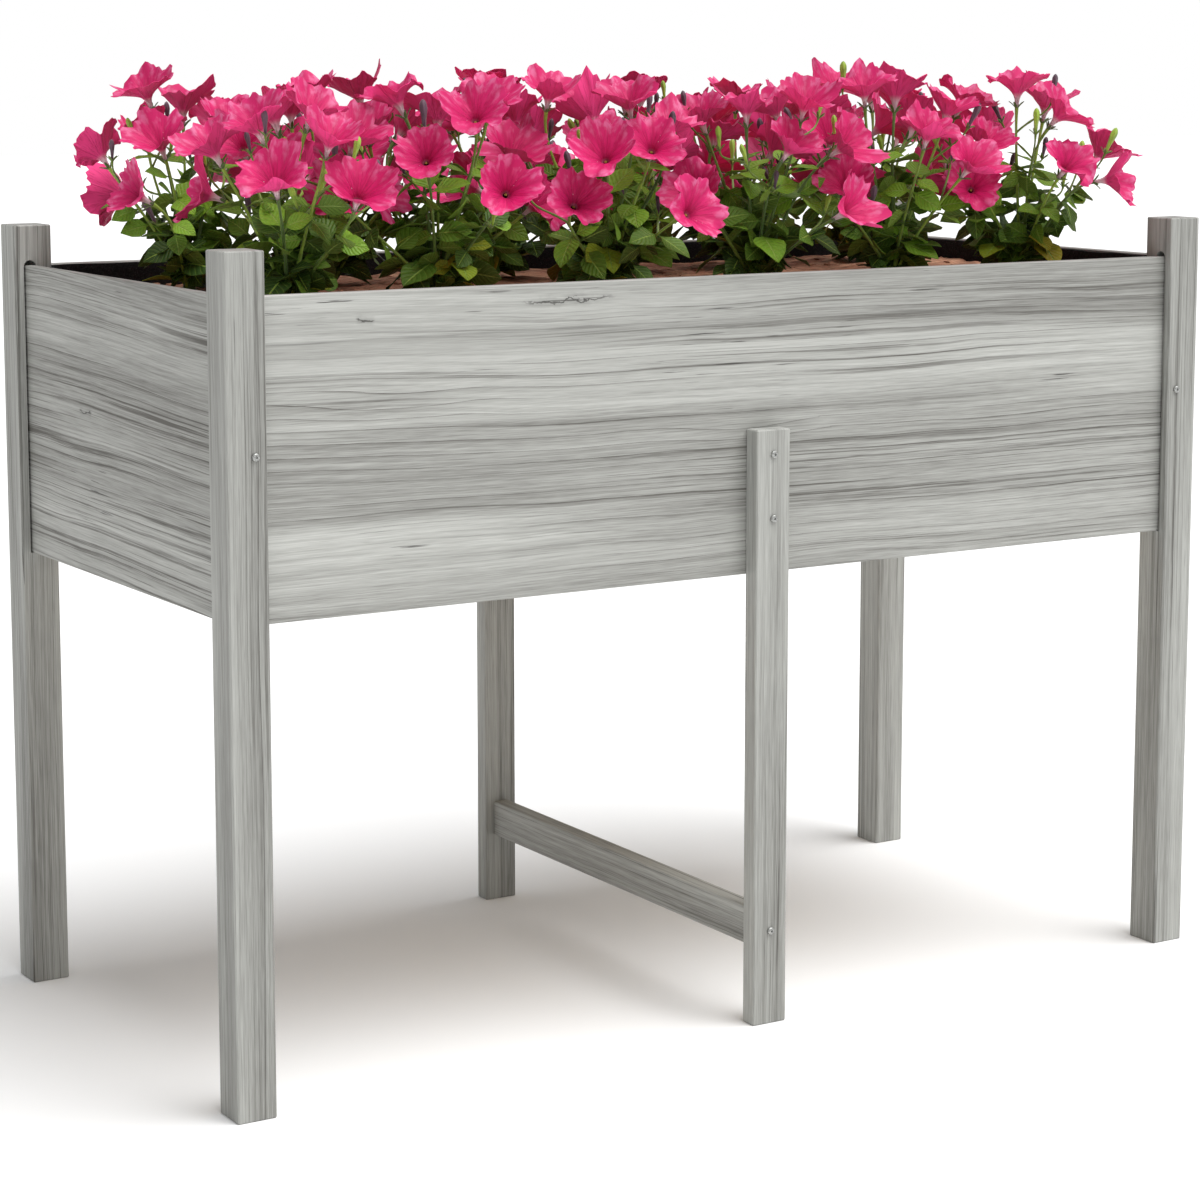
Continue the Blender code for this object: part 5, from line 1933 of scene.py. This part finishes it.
@dataclass
class FeltLiner:
    """The felt tub: floor and walls folded up inside the boards and round the legs.

    Attributes:
        thick: The felt's thickness.
        cells: Faces along its length and depth.
        steps: Heights of the wall's rings, as shares of the wall.
        near: How near a wall's outermost line its points are.
        bulge: How far its top bulges in.
        waver: How far its cut edge rises and falls.
        edge: Radius of its cut edge.
    """

    thick: float = 0.003
    cells: tuple[int, int] = (72, 32)
    steps: tuple[float, ...] = (0.25, 0.5, 0.75, 0.84, 0.90, 0.94, 0.97, 1.0)
    near: float = 0.02
    bulge: float = 0.0022
    waver: float = 0.0009
    edge: float = 0.0007

    def build(self) -> None:
        low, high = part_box("liner")
        piece = BedPlan.of_node("liner", GAP, self.cells).build("felt_liner", low.z)
        height = high.z - self.waver - low.z
        with editing(piece, "EDGE"):
            pick(piece, "edges", is_rim)
            for start, end in zip((0.0, *self.steps), self.steps):
                rise = {"value": (0.0, 0.0, (end - start) * height)}
                bpy.ops.mesh.extrude_region_move(TRANSFORM_OT_translate=rise)
        turn_down(piece, lambda centre: -centre.z)
        self.wave(piece, low.z, height)
        dress(piece, Felt())
        add_modifier(piece, "SOLIDIFY", thickness=self.thick, offset=-1.0, use_even_offset=True)
        add_modifier(piece, "BEVEL", width=self.edge, segments=2, limit_method="ANGLE",
                     angle_limit=math.radians(60))
        smooth(piece)
        hand_in(piece, "felt", "liner")

    def wave(self, piece: bpy.types.Object, floor: float, height: float) -> None:
        """Let the top of the walls bulge in and its edge waver.

        Args:
            piece: The tub.
            floor: Height of its floor.
            height: Height of its walls.
        """
        points = points_of(piece)
        x, y, z = points.T
        share = np.clip((z - floor) / height, 0.0, 1.0) ** 6
        roll = 0.5 + 0.3 * np.sin(31 * x + 2.0) * np.cos(23 * y) + 0.2 * np.sin(77 * x + 61 * y)
        push = self.bulge * np.clip(roll, 0.0, 1.0) * share
        for part, place in enumerate((x, y)):
            on_wall = np.abs(place) > np.abs(place).max() - self.near
            points[:, part] -= np.sign(place) * push * on_wall
        points[:, 2] += self.waver * share * np.sin(47 * x + 53 * y) * np.cos(19 * x - 29 * y)
        move_points(piece, points)


@dataclass
class SoilBed:
    """The bark soil: a lumpy, streaked surface with loose chips on it.

    Attributes:
        below_top: How far its mean height is below the boards' top.
        cells: Faces along its length and depth.
        lump: Height of the packed soil's waves.
        streak: Height of the streaks along the bed.
        crumb: Height of the finest lumps.
        chips: Number of loose chips.
        chip_sizes: Smallest and largest half length of a chip.
        chip_shape: Its length, width and height beside its half length.
        chip_rough: How far its corners are drawn in and out.
        margin: How far chips stay off the felt.
        seed: Seed of the chips' places.
    """

    below_top: float = 0.027
    cells: tuple[int, int] = (210, 100)
    lump: float = 0.004
    streak: float = 0.0020
    crumb: float = 0.0009
    chips: int = 240
    chip_sizes: Pair = (0.0018, 0.0060)
    chip_shape: Triple = (1.0, 0.55, 0.32)
    chip_rough: Pair = (0.78, 1.15)
    margin: float = 0.010
    seed: int = 11

    @classmethod
    def datum(cls) -> float:
        """The soil's mean height."""
        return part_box("board_front")[1].z - cls.below_top

    def height(self, x: np.ndarray, y: np.ndarray) -> np.ndarray:
        """The surface's height: the packed soil's waves with streaks and crumbs on them.

        Args:
            x: Places along the bed.
            y: Places across it.

        Returns:
            The heights.
        """
        wave = np.sin(31 * x + 9 * y) * np.cos(27 * y - 6 * x)
        ripple = np.sin(67 * x - 41 * y) * np.sin(53 * y + 17 * x)
        bend = 0.9 * np.sin(13 * x + 4 * y) + 0.6 * np.sin(29 * x - 11 * y)
        streaks = np.sin(310 * y + 3.4 * bend) * np.cos(47 * x + 120 * y)
        streaks += np.sin(530 * y - 61 * x + 2.1 * bend)
        crumbs = np.sin(420 * x + 350 * y + 3 * bend) * np.sin(510 * y - 460 * x)
        crumbs += 0.7 * np.sin(760 * x - 640 * y) * np.cos(690 * y + 250 * x)
        return (self.datum() + self.lump * (0.6 * wave + 0.4 * ripple)
                + 0.5 * self.streak * streaks + 0.6 * self.crumb * crumbs)

    def build(self) -> None:
        """Shape the surface, close the bed below it and strew the chips."""
        low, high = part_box("soil")
        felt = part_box("liner")[1].x - high.x + GAP
        plan = BedPlan.of_node("soil", felt, self.cells)
        piece = plan.build("bark_soil_bed", low.z)
        with editing(piece, "FACE"):
            bpy.ops.mesh.select_all(action="SELECT")
            rise = {"value": (0.0, 0.0, self.datum() - low.z)}
            bpy.ops.mesh.extrude_region_move(TRANSFORM_OT_translate=rise)
        turn_outwards(piece)
        with editing(piece, "FACE"):
            pick(piece, "faces", lambda face: face.normal.z < -0.5)
            bpy.ops.mesh.dissolve_faces()
        points = points_of(piece)
        on_top = points[:, 2] > (self.datum() + low.z) / 2
        points[on_top, 2] = self.height(points[on_top, 0], points[on_top, 1])
        move_points(piece, points)
        set_tint(piece, 0.0)
        bed = join("bark_soil_bed", [piece, *self.strewn(plan)])
        bed.data.materials.clear()
        dress(bed, Earth())
        smooth(bed)
        hand_in(bed, "soil", "soil")

    def strewn(self, plan: BedPlan) -> list[bpy.types.Object]:
        """Bark chips on the surface.

        Args:
            plan: The bed's plan, whose edges and corners stay free.

        Returns:
            The chips.
        """
        rng = random.Random(self.seed)
        chip = start_piece("chip", bpy.ops.mesh.primitive_cube_add, size=2.0)
        with editing(chip):
            bpy.ops.mesh.subdivide(number_cuts=1, smoothness=0.7)
            bpy.ops.mesh.select_all(action="SELECT")
            bpy.ops.transform.resize(value=self.chip_shape)
        shape, made = points_of(chip), []
        while len(made) < self.chips:
            x, y = (rng.uniform(-1, 1) * (half - self.margin) for half in (plan.half_x, plan.half_y))
            if abs(x) > plan.leg_x - self.margin and abs(y) > plan.leg_y - self.margin:
                continue
            size = rng.uniform(*self.chip_sizes)
            turn = Matrix.Rotation(rng.gauss(0.0, 0.9), 3, "Z")
            turn @= Matrix.Rotation(rng.uniform(-0.4, 0.4), 3, "X")
            rough = np.array([[rng.uniform(*self.chip_rough) for _ in range(3)] for _ in shape])
            place = np.array((x, y, float(self.height(np.array(x), np.array(y))) + 0.12 * size))
            made.append(copy_of(chip, (shape * rough * size) @ np.array(turn).T + place))
        discard([chip])
        return made


@dataclass
class PetuniaModels:
    """What every petunia is copied from."""

    flower: FlowerModel = field(default_factory=FlowerModel)
    leaf: LeafModel = field(default_factory=LeafModel)
    small_leaf: LeafModel = field(default_factory=SmallLeafModel)
    stem: StemModel = field(default_factory=StemModel)
    calyx: CalyxModel = field(default_factory=CalyxModel)
    bud: BudModel = field(default_factory=BudModel)
    anthers: AntherModel = field(default_factory=AntherModel)
    crown: CrownModel = field(default_factory=CrownModel)

    def every(self) -> list[Model]:
        """The models in order."""
        return [getattr(self, part.name) for part in fields(self)]


@dataclass
class Petunia:
    """One petunia as its flowers, its leaves, and its stems with sepals and buds.

    Attributes:
        node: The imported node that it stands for.
        models: What it is copied from.
        leaf_width: A stem leaf's width for its length.
        low_leaf_width: The same for the narrow leaves at the crown.
        low_leaf: Height over the soil below which leaves are narrow.
        bright_leaf: Height over the soil at which they are bright green.
        yellow_leaf: Height over the soil below which some are yellowed.
        yellow: Share of those that are.
        joints: Shares of a stem at which pairs of small leaves grow.
        small_leaf: Shortest and longest small leaf.
        clear: Height over the soil that its tip keeps, over the bed and beyond it.
        side_buds: Share of the stems that carry a side bud.
        bud_draws: Places drawn for each side bud.
        bud_root: Shares of the stem between which it grows.
        bud_out: The least and most that it stands beside the stem.
        bud_up: The least and most that it stands above its root.
        bud_length: Shortest and longest side bud.
        mouth: Height of a flower's mouth over its calyx, which side buds keep off.
        bud_tints: The tints of green and of purple buds.
        bud_stalk: Thickness of a bud's stalk beside a stem's.
        bud_calyx: Size of a bud's calyx beside a flower's.
        seed: Seed of its draws.
        rng: Its draws.
        packed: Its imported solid.
        flowers: Where its flowers stand.
    """

    node: str
    models: PetuniaModels
    leaf_width: float = 0.70
    low_leaf_width: float = 0.40
    low_leaf: float = 0.020
    bright_leaf: float = 0.17
    yellow_leaf: float = 0.06
    yellow: float = 0.12
    joints: tuple[float, ...] = (0.07, 0.16, 0.28, 0.42, 0.58)
    small_leaf: Pair = (0.030, 0.042)
    clear: Pair = (0.008, 0.040)
    side_buds: float = 0.8
    bud_draws: int = 12
    bud_root: Pair = (0.60, 0.85)
    bud_out: Pair = (0.020, 0.046)
    bud_up: Pair = (0.016, 0.050)
    bud_length: Pair = (0.022, 0.033)
    mouth: float = 0.030
    bud_tints: Pair = (0.9, 2.0)
    bud_stalk: float = 0.7
    bud_calyx: float = 0.8
    seed: int = 5
    rng: random.Random = field(init=False, repr=False)
    packed: PackedPlant = field(init=False, repr=False)
    flowers: list[FlowerPlace] = field(init=False, repr=False)

    def __post_init__(self) -> None:
        """Start the plant's draws and find its flowers."""
        self.rng = random.Random(f"{self.node} {self.seed}")
        self.packed = PackedPlant(self.node)
        self.flowers = self.packed.flowers()

    def build(self) -> None:
        """Make the plant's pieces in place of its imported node."""
        leaves, buds = self.packed.leaves(), self.packed.buds()
        log.info("%s: %d flowers, %d leaves, %d buds", self.node, len(self.flowers), len(leaves), len(buds))
        petals = [part for place in self.flowers for part in self.flower_parts(place)]
        stalks = [part for place in self.flowers for part in self.stem_parts(place)]
        stalks += [part for place in buds for part in self.bud_parts(place)]
        blades = [self.leaf_part(self.models.leaf, place) for place in leaves]
        for stem in self.flowers:
            blades += [self.leaf_part(self.models.small_leaf, place) for place in self.joint_leaves(stem)]
        for stem in self.flowers:
            if self.rng.random() < self.side_buds:
                stalks += self.bud_parts(max(self.bud_places(stem), key=self.room))
        crown = self.models.crown
        stalks.append(crown.copied(points_of(crown.piece) + np.array(self.packed.crown()), 0.1))
        for part, copies, slot in (("flowers", petals, "petal"), ("stems", stalks, "leaf"),
                                   ("leaves", blades, "leaf")):
            hand_in(join(f"{self.node}_{part}", copies), slot, self.node)
        self.packed.shape.free()

    def flower_parts(self, place: FlowerPlace) -> list[bpy.types.Object]:
        """One flower's petals and anthers.

        Args:
            place: Where it stands.

        Returns:
            Its parts.
        """
        flower, anthers = self.models.flower, self.models.anthers
        petals = flower.copied(flower.points_at(place, self.rng), self.rng.uniform(0.0, 1.0) ** 2)
        return [petals, anthers.copied(anthers.stood_at(place.base, place.axis, place.side, place.size))]

    def stem_parts(self, place: FlowerPlace) -> list[bpy.types.Object]:
        """One flower's stem and calyx.

        Args:
            place: Where the flower stands.

        Returns:
            Its parts.
        """
        stem, calyx, tint = self.models.stem, self.models.calyx, self.rng.uniform(0.0, 0.9)
        return [stem.copied(stem.points_along(place.stem_point), tint),
                calyx.copied(calyx.stood_at(place.base, place.axis, place.side, place.size), 0.25 * tint)]

    def bud_parts(self, place: BudPlace) -> list[bpy.types.Object]:
        """One bud with its stalk and calyx.

        Args:
            place: Where it grows.

        Returns:
            Its parts.
        """
        bud, stem, calyx = self.models.bud, self.models.stem, self.models.calyx
        heading, length = place.heading(), (place.tip - place.base).length
        stands = (place.base, heading, side_of(heading))
        return [bud.copied(bud.stood_at(*stands, length), self.rng.choice(self.bud_tints)),
                stem.copied(stem.points_along(place.stalk_point, self.bud_stalk), 0.4),
                calyx.copied(calyx.stood_at(*stands, self.bud_calyx), 0.3)]

    def leaf_part(self, model: LeafModel, place: LeafPlace) -> bpy.types.Object:
        """One leaf: dark or yellowed near the soil, brighter green the higher it grows.

        Args:
            model: The leaf's model.
            place: Where it grows.

        Returns:
            The leaf.
        """
        over_soil = place.root.z - SoilBed.datum()
        width = self.low_leaf_width if over_soil < self.low_leaf else self.leaf_width
        tint = min(1.0, max(0.0, over_soil / self.bright_leaf + self.rng.uniform(-0.3, 0.4)))
        if over_soil < self.yellow_leaf and self.rng.random() < self.yellow:
            tint = self.rng.uniform(1.6, 2.0)
        return model.copied(model.points_at(place, width, self.rng), tint)

    def bud_places(self, stem: FlowerPlace) -> list[BudPlace]:
        """Places drawn for one more bud beside a flower's stem.

        Args:
            stem: The flower whose stem carries the bud.

        Returns:
            The places.
        """
        places = []
        for _ in range(self.bud_draws):
            root = stem.stem_point(self.rng.uniform(*self.bud_root))
            heading = self.rng.uniform(0, TURN)
            out = Vector((math.cos(heading), math.sin(heading), 0.0))
            base = root + out * self.rng.uniform(*self.bud_out) + UP * self.rng.uniform(*self.bud_up)
            rise = (UP + out * self.rng.uniform(-0.2, 0.5)).normalized()
            places.append(BudPlace(root, base, base + rise * self.rng.uniform(*self.bud_length)))
        return places

    def room(self, bud: BudPlace) -> float:
        """How free a bud stands.

        Args:
            bud: Where it grows.

        Returns:
            How far its tip is from the nearest flower's mouth, and somewhat from the plant's middle.
        """
        heart = sum((flower.root for flower in self.flowers), Vector()) / len(self.flowers)
        gap = min((bud.tip - flower.base - flower.axis * self.mouth).length for flower in self.flowers)
        return gap + 0.4 * (bud.tip - heart).xy.length

    def joint_leaves(self, stem: FlowerPlace) -> list[LeafPlace]:
        """Pairs of small leaves at a stem's joints, where they stay clear of the felt and the soil.

        Args:
            stem: The flower whose stem carries them.

        Returns:
            Where each grows.
        """
        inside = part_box("soil")[1]
        found = []
        for joint in self.joints:
            root = stem.stem_point(joint + self.rng.uniform(-0.04, 0.04))
            turn = self.rng.uniform(0, TURN)
            for half in (0.0, TURN / 2):
                length = self.rng.uniform(*self.small_leaf)
                heading = turn + half + self.rng.uniform(-0.4, 0.4)
                out = Vector((math.cos(heading), math.sin(heading), 0.0))
                along = (out + UP * self.rng.uniform(-0.7, 0.9)).normalized()
                side = UP.cross(out)
                face = along.cross(side)
                normal = ((face if face.z > 0 else -face) + side * self.rng.uniform(-1.6, 1.6)).normalized()
                tip = root + along * length
                beyond = abs(tip.x) > inside.x or abs(tip.y) > inside.y
                if tip.z > SoilBed.datum() + self.clear[beyond]:
                    found.append(LeafPlace(root, along, normal, length, self.rng.uniform(0.05, 0.30)))
        return found


@dataclass
class PetuniaBed:
    """The twelve petunias, grown from one set of models."""

    models: PetuniaModels = field(default_factory=PetuniaModels)

    def build(self) -> None:
        """Model what repeats once, then grow every plant from copies."""
        for model in self.models.every():
            model.build()
        for name in sorted(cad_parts):
            if name.startswith("petunia_"):
                Petunia(name, self.models).build()
        discard(model.piece for model in self.models.every())


@dataclass
class Studio(Wiring):
    """Pale floor, soft light and the camera at the photograph's angle.

    Angles are in degrees, the lens and its sensor in millimetres, and the yaw turns right of +Y. The key
    light comes from the front right and above, and its spread softens its shadows.
    """

    name: str = "studio_light"
    floor_size: float = 60.0
    camera_place: Triple = (-1.8452, -2.9745, 1.0518)
    tilt: float = 7.824
    yaw: float = 31.584
    lens: float = 91.1
    sensor: float = 36.0
    shift: float = -0.10
    sky: float = 0.46
    backdrop: float = 1.0
    key_from: Triple = (0.26, -0.34, 0.90)
    key_strength: float = 3.3
    key_spread: float = 50.0

    def tree(self) -> bpy.types.NodeTree:
        """The world's own tree."""
        return bpy.data.worlds[self.name].node_tree

    def build(self) -> None:
        """Lay the floor, hang the lamps and set up the camera."""
        self.lay_floor()
        self.light()
        bpy.ops.object.camera_add(location=self.camera_place,
                                  rotation=(math.radians(90 - self.tilt), 0.0, math.radians(-self.yaw)))
        camera = bpy.context.object
        camera.data.lens = self.lens
        camera.data.sensor_width = self.sensor
        camera.data.shift_y = self.shift
        bpy.context.scene.camera = camera
        bpy.context.scene.view_settings.view_transform = "Standard"
        log.info("studio: floor, light and camera")

    def lay_floor(self) -> None:
        """Lay the pale paper."""
        floor = start_piece("studio_floor", bpy.ops.mesh.primitive_plane_add, size=self.floor_size)
        dress(floor, StudioPaper())

    def light(self) -> None:
        """Light the paper from all round and the bed by one wide key light."""
        world = bpy.data.worlds.new(self.name)
        world.use_nodes = True
        self.tree().nodes.clear()
        seen = self.node("ShaderNodeLightPath").outputs["Is Camera Ray"]
        strength = self.added(self.sky, self.backdrop - self.sky, seen)
        sky = self.node("ShaderNodeBackground", {"Color": (1.0, 1.0, 1.0, 1.0), "Strength": strength})
        self.node("ShaderNodeOutputWorld", {"Surface": sky.outputs[0]})
        bpy.context.scene.world = world
        aim = Vector(self.key_from).to_track_quat("Z", "Y").to_euler()
        bpy.ops.object.light_add(type="SUN", rotation=aim)
        key = bpy.context.object.data
        key.energy = self.key_strength
        key.angle = math.radians(self.key_spread)


def main() -> None:
    """Build the looks in order and report each piece."""
    logging.basicConfig(level=logging.INFO, format="%(message)s")
    Studio().build()
    WoodenBox().dress()
    CoachScrews().build()
    FeltLiner().build()
    SoilBed().build()
    PetuniaBed().build()


if __name__ == "__main__":
    main()
